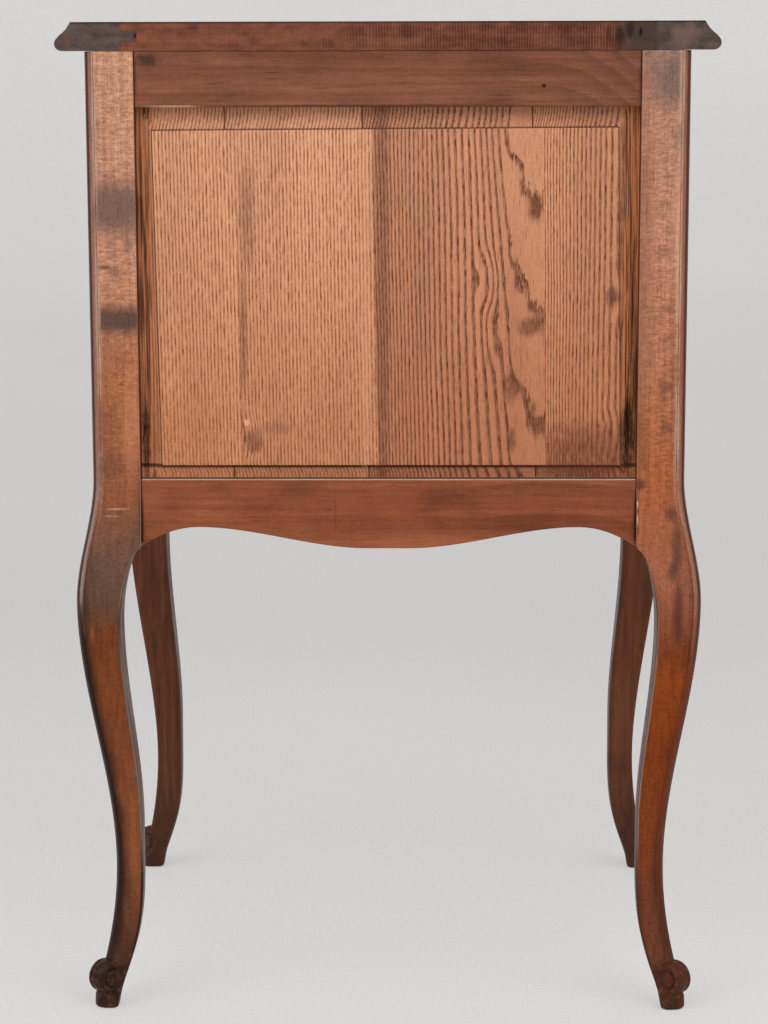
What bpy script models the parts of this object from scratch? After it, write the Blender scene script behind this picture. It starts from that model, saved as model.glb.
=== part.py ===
"""A period nightstand: four cabriole legs with scroll feet carry a framed case with three drawers.

Units are metres. +Z is up, the drawers face -Y and the panelled back faces +Y.
The origin is on the floor, at the middle of the whole object's plan.
"""

import math

import bmesh
import bpy
from mathutils import Vector

# Overall sizes
HEIGHT = 0.720
BODY_WIDTH = 0.425
BODY_DEPTH = 0.353
FIT = 0.0003

# Top: a board between two end pieces, moulded on the front and the sides
TOP_THICKNESS = 0.020
TOP_OVERHANG = 0.0203
TOP_CORNER = 0.014
TOP_END_WIDTH = 0.0465
TOP_TONGUE_LENGTH = 0.0108
TOP_TONGUE_HEIGHT = 0.0065
TOP_LIP = 0.004
TOP_NOSE_HEIGHT = 0.006
TOP_SHOULDER_HEIGHT = 0.0102
TOP_SHOULDER_SET_IN = 0.0021
TOP_FLAT_SET_IN = 0.012

# Legs: square posts above, cabriole below, set corner outwards
POST = 0.035
SPINE_RADIUS = 0.006
POST_ARRIS = 0.0006
LEG_ARRIS = 0.003
KNEE_HEIGHT = 0.3085
KNEE_REACH = 0.0123
KNEE_HOLLOW_HEIGHT = 0.291
KNEE_HOLLOW = 0.0155
ANKLE_HEIGHT = 0.107
ANKLE_SET_IN = 0.0101
ANKLE_INNER_HEIGHT = 0.1367
ANKLE_INNER_SET_IN = 0.0305
FOOT_SWEEP = 0.0192
FOOT_REACH = 0.005
FOOT_INNER_SET_IN = 0.0105
FOOT_DELAY = 2.36
FOOT_PAD_HEIGHT = 0.010
FOOT_PAD_ARRIS = 0.004
FOOT_CHAMFER = 0.002
SCROLL_RADIUS = 0.0132
SCROLL_HEIGHT = 0.0228
SCROLL_SET_IN = 0.0033
SCROLL_WIDTH = 0.015
SCROLL_EYE_RADIUS = 0.0062
SCROLL_EYE_HEIGHT = 0.0012
SCROLL_EASE = 0.0015
SCROLL_RECESS = 0.0008

# Frame rails and aprons
RAIL_THICKNESS = 0.020
TOP_RAIL_HEIGHT = 0.039
APRON_TOP = 0.397
APRON_MIDDLE_HEIGHT = 0.0505
APRON_ARCH_HEIGHT = 0.035
APRON_END_HEIGHT = 0.049
APRON_ARCH_FROM_POST = 0.041
APRON_FLAT = 0.015
TENON_LENGTH = 0.018
TENON_THICKNESS = 0.008
TENON_INSET = 0.006
TENON_SHOULDER = 0.006

# Fielded panels of the back and the sides
GROOVE_INSET = 0.010
GROOVE_DEPTH = 0.008
PANEL_EDGE = 0.006
PANEL_BITE = 0.007
PANEL_FIELD_INSET = 0.004
PANEL_SHOULDER = 0.003
BACK_MARGIN_SIDE = 0.0135
BACK_MARGIN_TOP = 0.0157
BACK_MARGIN_BOTTOM = 0.0096
SIDE_MARGIN = 0.014
BACK_BOARD_SEAMS = (-0.104, 0.016, 0.113)
BACK_BOARD_LEAN = 0.0045
BOARD_LAP = 0.007
BOARD_LAP_THICKNESS = 0.0028

# Front: rails between the drawers, bowed forward in plan
BOW = 0.014
BOW_RUN = 0.098
FRONT_RAIL_HEIGHT = 0.018
DIVIDER_HEIGHT = 0.016
DIVIDER_DEPTH = 0.028
DIVIDER_TENON_LENGTH = 0.014
DIVIDER_TENON_HEIGHT = 0.008
DIVIDER_TENON_DEPTH = 0.016
RUNNER_WIDTH = 0.020
RUNNER_STOP_LENGTH = 0.012
RUNNER_STOP_HEIGHT = 0.012
DRAWER_NAMES = ("lower", "middle", "upper")
DIVIDER_NAMES = ("lower", "upper")

# Drawers
DRAWER_GAP = 0.0008
DRAWER_FRONT_THICKNESS = 0.020
DRAWER_SIDE_THICKNESS = 0.010
DRAWER_SIDE_DROP = 0.004
DRAWER_BACK_THICKNESS = 0.010
DRAWER_BACK_INSET = 0.004
DRAWER_BACK_DROP = 0.005
DRAWER_DADO = 0.003
DRAWER_BOTTOM_THICKNESS = 0.006
DRAWER_BOTTOM_HEIGHT = 0.008
DRAWER_BOTTOM_BITE = 0.004
DOVETAIL_LAP = 0.006
DOVETAIL_COUNT = 3
DOVETAIL_TIP_SHARE = 0.70
DOVETAIL_BASE_SHARE = 0.50

# Brass pulls
PULL_SPACING = 0.064
PULL_AXIS = 0.014
PLATE_WIDTH = 0.088
PLATE_HEIGHT = 0.042
PLATE_THICKNESS = 0.002
PLATE_LOBE = 0.12
PULL_POST_RADIUS = 0.0035
PULL_BALL_RADIUS = 0.0055
BALL_FLAT = 0.125
BALL_SHARE = 0.72
PULL_SHANK_RADIUS = 0.0025
PULL_SHANK_PROUD = 0.006
NUT_WIDTH = 0.010
NUT_THICKNESS = 0.004
BAIL_RADIUS = 0.0022
BAIL_BORE_GAP = 0.0004
BAIL_DROP = 0.026
BAIL_ARM = 0.010
BAIL_BEND = 0.006

# Places that follow from the sizes above
CASE_TOP = HEIGHT - TOP_THICKNESS
TOP_HALF = BODY_WIDTH / 2 + TOP_OVERHANG
INNER_X = BODY_WIDTH / 2 - POST
PULL_REACH = PULL_AXIS + PULL_BALL_RADIUS
FRONT_REACH = BOW + max(TOP_OVERHANG, PULL_REACH)
BACK_Y = (BODY_DEPTH + FRONT_REACH - KNEE_REACH) / 2
FRONT_Y = BACK_Y - BODY_DEPTH
MIDDLE_Y = BACK_Y - BODY_DEPTH / 2
INNER_Y = BODY_DEPTH / 2 - POST
BRACKET_TOP = APRON_TOP - APRON_END_HEIGHT
TOP_RAIL_BOTTOM = CASE_TOP - TOP_RAIL_HEIGHT
GROOVE_WIDTH = PANEL_EDGE + 2 * FIT
DRAWER_COUNT = len(DRAWER_NAMES)
FRONT_RAILS_HEIGHT = FRONT_RAIL_HEIGHT + (DRAWER_COUNT - 1) * DIVIDER_HEIGHT
BAY_HEIGHT = (CASE_TOP - APRON_TOP - FRONT_RAILS_HEIGHT) / DRAWER_COUNT
DRAWER_HALF = INNER_X - DRAWER_GAP
DRAWER_FRONT_HEIGHT = BAY_HEIGHT - 2 * DRAWER_GAP
DRAWER_SIDE_HEIGHT = DRAWER_FRONT_HEIGHT - DRAWER_SIDE_DROP
DRAWER_INSIDE = DRAWER_HALF - DRAWER_SIDE_THICKNESS
DRAWER_LENGTH = BODY_DEPTH - RAIL_THICKNESS - RUNNER_STOP_LENGTH - 2 * FIT

# How finely round shapes are cut, and how far a cutter runs past what it cuts
ROUND_STEPS = 16
SPINE_STEPS = 4
LEG_STEPS = 18
BRACKET_STEPS = 3
EDGE_STEPS = 24
CORNER_STEPS = 4
BALL_STEPS = 5
BAIL_ROUND_STEPS = 2
SHARP_EDGE = math.radians(35)
PAST = 0.004


# Materials


def material(name, colour, roughness, metallic=0.0):
    made = bpy.data.materials.new(name)
    made.use_nodes = True
    shader = made.node_tree.nodes["Principled BSDF"]
    shader.inputs["Base Color"].default_value = (*colour, 1.0)
    shader.inputs["Roughness"].default_value = roughness
    shader.inputs["Metallic"].default_value = metallic
    return made


# Shapes


def mesh_of(shape, name="shape"):
    """Closes a bmesh with its faces pointing out, and turns it into a mesh."""
    bmesh.ops.recalc_face_normals(shape, faces=shape.faces)
    mesh = bpy.data.meshes.new(name)
    shape.to_mesh(mesh)
    shape.free()
    return mesh


def loft(rings):
    """A closed mesh through rings of points, all with as many points, with a flat face at each end."""
    shape = bmesh.new()
    rows = [[shape.verts.new(point) for point in ring] for ring in rings]
    for low, high in zip(rows, rows[1:]):
        for i in range(len(low)):
            j = (i + 1) % len(low)
            shape.faces.new((low[i], low[j], high[j], high[i]))
    shape.faces.new(rows[0])
    shape.faces.new(rows[-1])
    return mesh_of(shape)


def prism(outline, axis, low, high):
    """An outline pushed along an axis. Its coordinates are the other two axes, in order."""
    place = {
        "X": lambda a, b, along: (along, a, b),
        "Y": lambda a, b, along: (a, along, b),
        "Z": lambda a, b, along: (a, b, along),
    }[axis]
    return loft([[place(a, b, along) for a, b in outline] for along in (low, high)])


def box(x0, x1, y0, y1, z0, z1):
    return prism([(x0, y0), (x1, y0), (x1, y1), (x0, y1)], "Z", z0, z1)


def lathe(profile, centre, along, across, steps=ROUND_STEPS):
    """Rings of (distance along the axis, radius), turned about an axis through centre."""
    along = Vector(along)
    across = Vector(across)
    third = along.cross(across)
    rings = []
    for distance, radius in profile:
        ring = []
        for i in range(steps):
            turn = 2 * math.pi * i / steps
            out = across * math.cos(turn) + third * math.sin(turn)
            ring.append(Vector(centre) + along * distance + out * radius)
        rings.append(ring)
    return loft(rings)


def boolean(base, others, operation):
    """One mesh: base joined to, cut by or kept inside the others."""
    scene = bpy.context.scene.collection
    body = bpy.data.objects.new("shape", base)
    tools = [bpy.data.objects.new("tool", other) for other in others]
    for obj in (body, *tools):
        scene.objects.link(obj)
    for tool in tools:
        modifier = body.modifiers.new("Boolean", "BOOLEAN")
        modifier.operation = operation
        modifier.object = tool
    bpy.context.view_layer.update()
    graph = bpy.context.evaluated_depsgraph_get()
    made = bpy.data.meshes.new_from_object(body.evaluated_get(graph))
    for obj in (body, *tools):
        bpy.data.objects.remove(obj)
    return made


def joined(base, *others):
    return boolean(base, others, "UNION")


def cut(base, *others):
    return boolean(base, others, "DIFFERENCE")


def within(base, other):
    return boolean(base, [other], "INTERSECT")


def piece(name, mesh, finish, parent=None, smooth=False, place=(0.0, 0.0, 0.0)):
    """A named sub-part of the nightstand."""
    obj = bpy.data.objects.new(name, mesh)
    bpy.context.scene.collection.objects.link(obj)
    if not mesh.materials:
        mesh.materials.append(finish)
    if smooth:
        mesh.shade_smooth()
        mesh.set_sharp_from_angle(angle=SHARP_EDGE)
    obj.location = place
    obj.parent = parent
    return obj


def empty(name, place, parent=None):
    obj = bpy.data.objects.new(name, None)
    bpy.context.scene.collection.objects.link(obj)
    obj.location = place
    obj.parent = parent
    return obj


def eased(share):
    """0 to 1 with a level start and finish."""
    share = min(max(share, 0.0), 1.0)
    return share * share * (3 - 2 * share)


def spaced(low, high, steps):
    return [low + (high - low) * i / steps for i in range(steps + 1)]


# Legs


def leg_outer(z):
    """How far the leg's outer faces stand out from the post's outer faces at a height."""
    if z >= KNEE_HEIGHT:
        return KNEE_REACH * eased((APRON_TOP - z) / (APRON_TOP - KNEE_HEIGHT))
    if z >= ANKLE_HEIGHT:
        share = eased((KNEE_HEIGHT - z) / (KNEE_HEIGHT - ANKLE_HEIGHT))
        return KNEE_REACH - (KNEE_REACH + ANKLE_SET_IN) * share
    sweep = FOOT_SWEEP * ((ANKLE_HEIGHT - z) / ANKLE_HEIGHT) ** 2
    return min(sweep - ANKLE_SET_IN, FOOT_REACH)


def leg_inner(z):
    """Where the leg's inner faces lie at a height, also from the post's outer faces."""
    hollow = KNEE_HOLLOW - POST
    if z >= BRACKET_TOP:
        return -POST
    if z >= KNEE_HOLLOW_HEIGHT:
        share = (z - KNEE_HOLLOW_HEIGHT) / (BRACKET_TOP - KNEE_HOLLOW_HEIGHT)
        return KNEE_HOLLOW * math.sqrt(1 - share * share) - POST
    if z >= ANKLE_INNER_HEIGHT:
        share = (KNEE_HOLLOW_HEIGHT - z) / (KNEE_HOLLOW_HEIGHT - ANKLE_INNER_HEIGHT)
        return hollow - (hollow + ANKLE_INNER_SET_IN) * eased(share)
    share = eased(((ANKLE_INNER_HEIGHT - z) / ANKLE_INNER_HEIGHT) ** FOOT_DELAY)
    return (ANKLE_INNER_SET_IN - FOOT_INNER_SET_IN) * share - ANKLE_INNER_SET_IN


def leg_ring(z):
    """The leg's section: a square with its outermost corner well rounded and the others eased."""
    chamfer = max(FOOT_CHAMFER - z, 0.0)
    outer = leg_outer(z) - chamfer
    inner = leg_inner(z) + chamfer
    if z >= BRACKET_TOP:
        arris = POST_ARRIS
    else:
        arris = LEG_ARRIS if z > FOOT_PAD_HEIGHT else FOOT_PAD_ARRIS
    corners = (
        (outer, outer, SPINE_RADIUS, SPINE_STEPS),
        (inner, outer, arris, 1),
        (inner, inner, arris, 1),
        (outer, inner, arris, 1),
    )
    ring = []
    for quarter, (p, q, radius, steps) in enumerate(corners):
        inwards_p = -1 if p == outer else 1
        inwards_q = -1 if q == outer else 1
        for i in range(steps + 1):
            turn = math.pi / 2 * (quarter + i / steps)
            across = p + radius * (inwards_p + math.cos(turn))
            deep = q + radius * (inwards_q + math.sin(turn))
            ring.append((across, deep, z))
    return ring


def leg_point(p, q, z, side, end):
    """A place given from a post's outer faces, at the leg on that side (X) and end (Y)."""
    return (side * (BODY_WIDTH / 2 + p), MIDDLE_Y + end * (BODY_DEPTH / 2 + q), z)


def leg_box(p0, p1, q0, q1, z0, z1, side, end):
    x0, y0, _ = leg_point(p0, q0, z0, side, end)
    x1, y1, _ = leg_point(p1, q1, z1, side, end)
    return box(min(x0, x1), max(x0, x1), min(y0, y1), max(y0, y1), z0, z1)


def scroll_axis(side, end):
    """The middle of a foot's roll, and the way that its axis points."""
    centre = leg_point(-SCROLL_SET_IN, -SCROLL_SET_IN, SCROLL_HEIGHT, side, end)
    return centre, Vector((side, -end, 0)).normalized()


def leg_scroll(side, end):
    """The rolled toe of the foot, lying across the leg's diagonal, with a boss in each end."""
    half = SCROLL_WIDTH / 2
    profile = (
        (-half - SCROLL_EYE_HEIGHT, SCROLL_EYE_RADIUS),
        (-half, SCROLL_EYE_RADIUS),
        (-half, SCROLL_RADIUS - SCROLL_EASE),
        (SCROLL_EASE - half, SCROLL_RADIUS),
        (half - SCROLL_EASE, SCROLL_RADIUS),
        (half, SCROLL_RADIUS - SCROLL_EASE),
        (half, SCROLL_EYE_RADIUS),
        (half + SCROLL_EYE_HEIGHT, SCROLL_EYE_RADIUS),
    )
    return lathe(profile, *scroll_axis(side, end), (0, 0, 1))


def scroll_recesses(side, end):
    """What the carver takes off the leg on each side of the roll, so that its ends show whole."""
    near = SCROLL_WIDTH / 2 - SCROLL_RECESS
    radius = SCROLL_RADIUS + SCROLL_RECESS
    centre, along = scroll_axis(side, end)
    rolls = [[(near, radius), (near + POST, radius)], [(-near - POST, radius), (-near, radius)]]
    return [lathe(roll, centre, along, (0, 0, 1)) for roll in rolls]


def mortises(side, end):
    """The pockets and grooves in a leg, for the rails and panels that meet it."""
    deep = TENON_LENGTH + FIT - POST
    slot = (-TENON_INSET - TENON_THICKNESS - FIT, FIT - TENON_INSET)
    heights = [
        (TOP_RAIL_BOTTOM + GROOVE_DEPTH, CASE_TOP - TENON_SHOULDER),
        (BRACKET_TOP + TENON_SHOULDER, APRON_TOP - GROOVE_DEPTH),
    ]
    groove = (-GROOVE_INSET - GROOVE_WIDTH, -GROOVE_INSET)
    groove_depth = GROOVE_DEPTH - POST
    groove_heights = (APRON_TOP - GROOVE_DEPTH, TOP_RAIL_BOTTOM + GROOVE_DEPTH)
    cutters = []
    for low, high in heights:
        cutters.append(leg_box(*slot, -POST - PAST, deep, low, high, side, end))
    cutters.append(leg_box(*groove, -POST - PAST, groove_depth, *groove_heights, side, end))
    if end > 0:
        for low, high in heights:
            cutters.append(leg_box(-POST - PAST, deep, *slot, low, high, side, end))
        cutters.append(leg_box(-POST - PAST, groove_depth, *groove, *groove_heights, side, end))
        return cutters
    low, high = heights[1]
    cutters.append(leg_box(-POST - PAST, deep, *slot, low, high, side, end))
    rail_deep = DIVIDER_TENON_LENGTH + FIT - POST
    rail_slot = (-TENON_INSET - DIVIDER_TENON_DEPTH - FIT, FIT - TENON_INSET)
    for middle in front_rail_middles():
        low = middle - DIVIDER_TENON_HEIGHT / 2 - FIT
        high = middle + DIVIDER_TENON_HEIGHT / 2 + FIT
        cutters.append(leg_box(-POST - PAST, rail_deep, *rail_slot, low, high, side, end))
    return cutters


def leg(side, end):
    heights = [CASE_TOP - FIT]
    heights += spaced(APRON_TOP, BRACKET_TOP, BRACKET_STEPS)
    heights += spaced(BRACKET_TOP, FOOT_PAD_HEIGHT, LEG_STEPS)[1:]
    heights += [FOOT_CHAMFER, 0.0]
    rings = [[leg_point(*point, side, end) for point in leg_ring(z)] for z in heights]
    stem = cut(loft(rings), *scroll_recesses(side, end))
    return cut(joined(stem, leg_scroll(side, end)), *mortises(side, end))


# Rails and aprons


def bay_floor(index):
    """The height of the surface that a drawer slides on, counted from the lowest."""
    return APRON_TOP + index * (BAY_HEIGHT + DIVIDER_HEIGHT)


def front_rail_middles():
    """The middle heights of the drawer dividers and of the rail above the drawers."""
    dividers = [bay_floor(i) - DIVIDER_HEIGHT / 2 for i in range(1, DRAWER_COUNT)]
    return [*dividers, CASE_TOP - FRONT_RAIL_HEIGHT / 2]


def bow(x):
    """How far the front swells forward of the posts: an S-curve at each side, level in the middle."""
    return BOW * eased((INNER_X - abs(x)) / BOW_RUN)


def front_line(low, high, shift=0.0):
    """Points along the bowed front, as (x, y)."""
    return [(x, FRONT_Y - bow(x) + shift) for x in spaced(low, high, EDGE_STEPS)]


def apron_edge(x, half):
    """The height of an apron's shaped lower edge, x from its middle, half the length between posts."""
    x = abs(x)
    peak = half - APRON_ARCH_FROM_POST
    if x > peak:
        drop = (APRON_END_HEIGHT - APRON_ARCH_HEIGHT) * ((x - peak) / APRON_ARCH_FROM_POST) ** 2
        return APRON_TOP - APRON_ARCH_HEIGHT - drop
    rise = (APRON_MIDDLE_HEIGHT - APRON_ARCH_HEIGHT) * eased((x - APRON_FLAT) / (peak - APRON_FLAT))
    return APRON_TOP - APRON_MIDDLE_HEIGHT + rise


def apron_outline(half):
    length = half - FIT
    lower = [(x, apron_edge(x, half)) for x in spaced(-length, length, EDGE_STEPS)]
    return [*lower, (length, APRON_TOP), (-length, APRON_TOP)]


def turned(mesh, side):
    """A rail made along X, with its outer face towards +Y, set along Y with that face at a side (X)."""
    for vertex in mesh.vertices:
        x, y, z = vertex.co
        vertex.co = (side * (y - BACK_Y + BODY_WIDTH / 2), MIDDLE_Y + x, z)
    shape = bmesh.new()
    shape.from_mesh(mesh)
    return mesh_of(shape)


def tenons(half, length, near, far, low, high):
    """The two tenons of a rail along X, each rooted a little way inside the rail."""
    root = half - PAST
    tip = half + length
    return [box(-tip, -root, near, far, low, high), box(root, tip, near, far, low, high)]


def back_tenons(half, low, high):
    far = BACK_Y - TENON_INSET
    return tenons(half, TENON_LENGTH, far - TENON_THICKNESS, far, low, high)


def groove_bar(half, low, high):
    near = BACK_Y - GROOVE_INSET
    return box(-half - PAST, half + PAST, near - GROOVE_WIDTH, near, low, high)


def frame_top_rail(half):
    length = half - FIT
    rail = box(-length, length, BACK_Y - RAIL_THICKNESS, BACK_Y, TOP_RAIL_BOTTOM, CASE_TOP - FIT)
    low = TOP_RAIL_BOTTOM + GROOVE_DEPTH + FIT
    rail = joined(rail, *back_tenons(half, low, CASE_TOP - TENON_SHOULDER - FIT))
    return cut(rail, groove_bar(half, TOP_RAIL_BOTTOM - PAST, TOP_RAIL_BOTTOM + GROOVE_DEPTH))


def frame_apron(half):
    apron = prism(apron_outline(half), "Y", BACK_Y - RAIL_THICKNESS, BACK_Y)
    low = BRACKET_TOP + TENON_SHOULDER + FIT
    apron = joined(apron, *back_tenons(half, low, APRON_TOP - GROOVE_DEPTH - FIT))
    return cut(apron, groove_bar(half, APRON_TOP - GROOVE_DEPTH, APRON_TOP + PAST))


def front_apron():
    """The apron under the drawers: shaped below like the others, and bowed in plan like the drawers."""
    length = INNER_X - FIT
    low = APRON_TOP - APRON_MIDDLE_HEIGHT - PAST
    inner = FRONT_Y + RAIL_THICKNESS
    plan = [*front_line(-length, length), (length, inner), (-length, inner)]
    shaped = prism(apron_outline(INNER_X), "Y", FRONT_Y - BOW - PAST, inner + PAST)
    apron = within(prism(plan, "Z", low, APRON_TOP + PAST), shaped)
    near = FRONT_Y + TENON_INSET
    far = near + TENON_THICKNESS
    tenon_low = BRACKET_TOP + TENON_SHOULDER + FIT
    tenon_high = APRON_TOP - GROOVE_DEPTH - FIT
    return joined(apron, *tenons(INNER_X, TENON_LENGTH, near, far, tenon_low, tenon_high))


def front_rail(middle, height):
    """A flat rail across the front, between or above the drawers, tenoned into the posts."""
    length = INNER_X - FIT
    inner = FRONT_Y + DIVIDER_DEPTH
    plan = [*front_line(-length, length), (length, inner), (-length, inner)]
    rail = prism(plan, "Z", middle - height / 2, middle + height / 2)
    near = FRONT_Y + TENON_INSET
    far = near + DIVIDER_TENON_DEPTH
    half = DIVIDER_TENON_HEIGHT / 2
    return joined(rail, *tenons(INNER_X, DIVIDER_TENON_LENGTH, near, far, middle - half, middle + half))


def side_strip(side, start, low, high, stop=0.0):
    """A bar along a side, nailed to the posts' inner faces, that a drawer slides on or under.

    A stop at its back end, where it has one, stands up behind the drawer.
    """
    ends = (side * (INNER_X - FIT), side * (INNER_X - RUNNER_WIDTH))
    end = BACK_Y - RAIL_THICKNESS - FIT
    outline = [(start, low), (end, low), (end, high + stop)]
    if stop:
        outline += [(end - RUNNER_STOP_LENGTH, high + stop), (end - RUNNER_STOP_LENGTH, high)]
    outline.append((start, high))
    return prism(outline, "X", min(ends), max(ends))


# Panels


def fielded_panel(half, margin_side, margin_top, margin_bottom, lean=0.0):
    """A panel with a raised field on its outer face, made along X with that face towards +Y.

    The field's upright edges move towards +X by lean on the way up.
    """
    low = APRON_TOP
    high = TOP_RAIL_BOTTOM
    inside = BACK_Y - GROOVE_INSET - PANEL_EDGE - FIT
    edge = inside + PANEL_EDGE
    field = BACK_Y - PANEL_FIELD_INSET
    foot = field - PANEL_SHOULDER

    def ring(set_in_x, set_in_top, set_in_bottom, y, shift=0.0):
        x = half - set_in_x
        top = high - set_in_top
        bottom = low + set_in_bottom
        lower = [(-x - shift, y, bottom), (x - shift, y, bottom)]
        return [*lower, (x + shift, y, top), (-x + shift, y, top)]

    margins = (margin_side, margin_top, margin_bottom)
    return loft(
        [
            ring(-PANEL_BITE, -PANEL_BITE, -PANEL_BITE, inside),
            ring(-PANEL_BITE, -PANEL_BITE, -PANEL_BITE, edge),
            ring(0.0, 0.0, 0.0, edge),
            ring(*margins, foot, lean / 2),
            ring(*margins, field, lean / 2),
        ]
    )


def leaning_strip(outline):
    """A strip over the panel's whole height, whose plan moves towards +X on the way up."""
    low = APRON_TOP - GROOVE_DEPTH - PAST
    high = TOP_RAIL_BOTTOM + GROOVE_DEPTH + PAST
    ends = ((low, -BACK_BOARD_LEAN / 2), (high, BACK_BOARD_LEAN / 2))
    return loft([[(x + lean, y, z) for x, y in outline] for z, lean in ends])


def back_boards():
    """The back panel's boards, each lapped under the next, from -X to +X."""
    half = INNER_X + PANEL_BITE + BOARD_LAP + BACK_BOARD_LEAN + PAST
    near = BACK_Y - GROOVE_INSET - PANEL_EDGE - PAST
    far = BACK_Y
    step = BACK_Y - PANEL_FIELD_INSET - BOARD_LAP_THICKNESS
    seams = (-half, *BACK_BOARD_SEAMS, half)
    margins = (BACK_MARGIN_SIDE, BACK_MARGIN_TOP, BACK_MARGIN_BOTTOM)
    boards = []
    for left, right in zip(seams, seams[1:]):
        start = left + FIT
        outline = [(start, near), (right, near), (right, step), (right - BOARD_LAP, step)]
        outline += [(right - BOARD_LAP, far), (start - BOARD_LAP, far)]
        outline += [(start - BOARD_LAP, step + FIT), (start, step + FIT)]
        panel = fielded_panel(INNER_X, *margins, BACK_BOARD_LEAN)
        boards.append(within(panel, leaning_strip(outline)))
    return boards


# Top


def top_outline(set_in):
    """The top's plan, drawn in by a distance on the front and the sides."""
    half = TOP_HALF - set_in
    front = FRONT_Y - TOP_OVERHANG + set_in
    radius = TOP_CORNER - set_in
    points = [(half, BACK_Y), (-half, BACK_Y)]
    for i in range(CORNER_STEPS + 1):
        turn = math.pi * (1 + i / CORNER_STEPS / 2)
        across = radius - half + radius * math.cos(turn)
        points.append((across, front + radius + radius * math.sin(turn)))
    for x in spaced(radius - half, half - radius, EDGE_STEPS)[1:-1]:
        points.append((x, front - bow(x)))
    for i in range(CORNER_STEPS + 1):
        turn = math.pi * (1.5 + i / CORNER_STEPS / 2)
        across = half - radius + radius * math.cos(turn)
        points.append((across, front + radius + radius * math.sin(turn)))
    return points


def whole_top():
    levels = (
        (TOP_LIP, 0.0),
        (0.0, TOP_NOSE_HEIGHT),
        (TOP_SHOULDER_SET_IN, TOP_SHOULDER_HEIGHT),
        (TOP_FLAT_SET_IN, TOP_THICKNESS),
    )
    return loft([[(x, y, CASE_TOP + up) for x, y in top_outline(set_in)] for set_in, up in levels])


def top_pieces():
    """The middle board and its two end pieces, with the end pieces' tongues in the board's grooves."""
    seam = TOP_HALF - TOP_END_WIDTH
    far = TOP_HALF + PAST
    low = CASE_TOP - PAST
    high = HEIGHT + PAST
    middle = CASE_TOP + TOP_THICKNESS / 2
    tongue = TOP_TONGUE_HEIGHT / 2
    tip = seam - TOP_TONGUE_LENGTH
    groove = tongue + FIT
    deep = tip - FIT
    board = [(-seam, low), (seam, low), (seam, middle - groove), (deep, middle - groove)]
    board += [(deep, middle + groove), (seam, middle + groove), (seam, high), (-seam, high)]
    board += [(-seam, middle + groove), (-deep, middle + groove)]
    board += [(-deep, middle - groove), (-seam, middle - groove)]
    shoulder = seam + FIT
    end = [(shoulder, low), (far, low), (far, high), (shoulder, high)]
    end += [(shoulder, middle + tongue), (tip, middle + tongue)]
    end += [(tip, middle - tongue), (shoulder, middle - tongue)]
    strips = {
        "top_board": board,
        "top_end_right": end,
        "top_end_left": [(-x, z) for x, z in end],
    }
    front = FRONT_Y - TOP_OVERHANG - BOW - PAST
    made = {}
    for name, outline in strips.items():
        made[name] = within(whole_top(), prism(outline, "Y", front, BACK_Y + PAST))
    return made


# Drawers, made with the origin at the middle of the bay's floor, in the plane of the posts' front faces


def drawer_tails(widen):
    """The dovetails on the front end of a drawer side, as outlines of (y, z), widened by a fit."""
    pitch = DRAWER_SIDE_HEIGHT / DOVETAIL_COUNT
    tails = []
    for i in range(DOVETAIL_COUNT):
        middle = DRAWER_GAP + pitch * (i + 0.5)
        tip = pitch * DOVETAIL_TIP_SHARE / 2 + widen
        base = pitch * DOVETAIL_BASE_SHARE / 2 + widen
        near = DOVETAIL_LAP - widen
        far = DRAWER_FRONT_THICKNESS + FIT
        lower = [(near, middle - tip), (far, middle - base)]
        tails.append([*lower, (far, middle + base), (near, middle + tip)])
    return tails


def pull_holes():
    """The two holes through a drawer front for the pull's shanks."""
    height = BAY_HEIGHT / 2
    radius = PULL_SHANK_RADIUS + FIT
    profile = [(-BOW - PAST, radius), (DRAWER_FRONT_THICKNESS + PAST, radius)]
    places = [(-PULL_SPACING / 2, 0.0, height), (PULL_SPACING / 2, 0.0, height)]
    return [lathe(profile, place, (0, 1, 0), (0, 0, 1)) for place in places]


def drawer_front():
    inner = DRAWER_FRONT_THICKNESS
    face = [(x, y - FRONT_Y) for x, y in front_line(-DRAWER_HALF, DRAWER_HALF)]
    outline = [*face, (DRAWER_HALF, inner), (-DRAWER_HALF, inner)]
    front = prism(outline, "Z", DRAWER_GAP, DRAWER_GAP + DRAWER_FRONT_HEIGHT)
    cutters = pull_holes()
    near = DRAWER_INSIDE - FIT
    far = DRAWER_HALF + PAST
    for tail in drawer_tails(FIT):
        opened = [(inner + PAST if y > inner else y, z) for y, z in tail]
        cutters.append(prism(opened, "X", near, far))
        cutters.append(prism(opened, "X", -far, -near))
    low = DRAWER_GAP + DRAWER_BOTTOM_HEIGHT - FIT
    high = low + DRAWER_BOTTOM_THICKNESS + 2 * FIT
    groove = inner - DRAWER_BOTTOM_BITE - FIT
    cutters.append(box(-DRAWER_INSIDE + FIT, DRAWER_INSIDE - FIT, groove, inner + PAST, low, high))
    return cut(front, *cutters)


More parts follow.
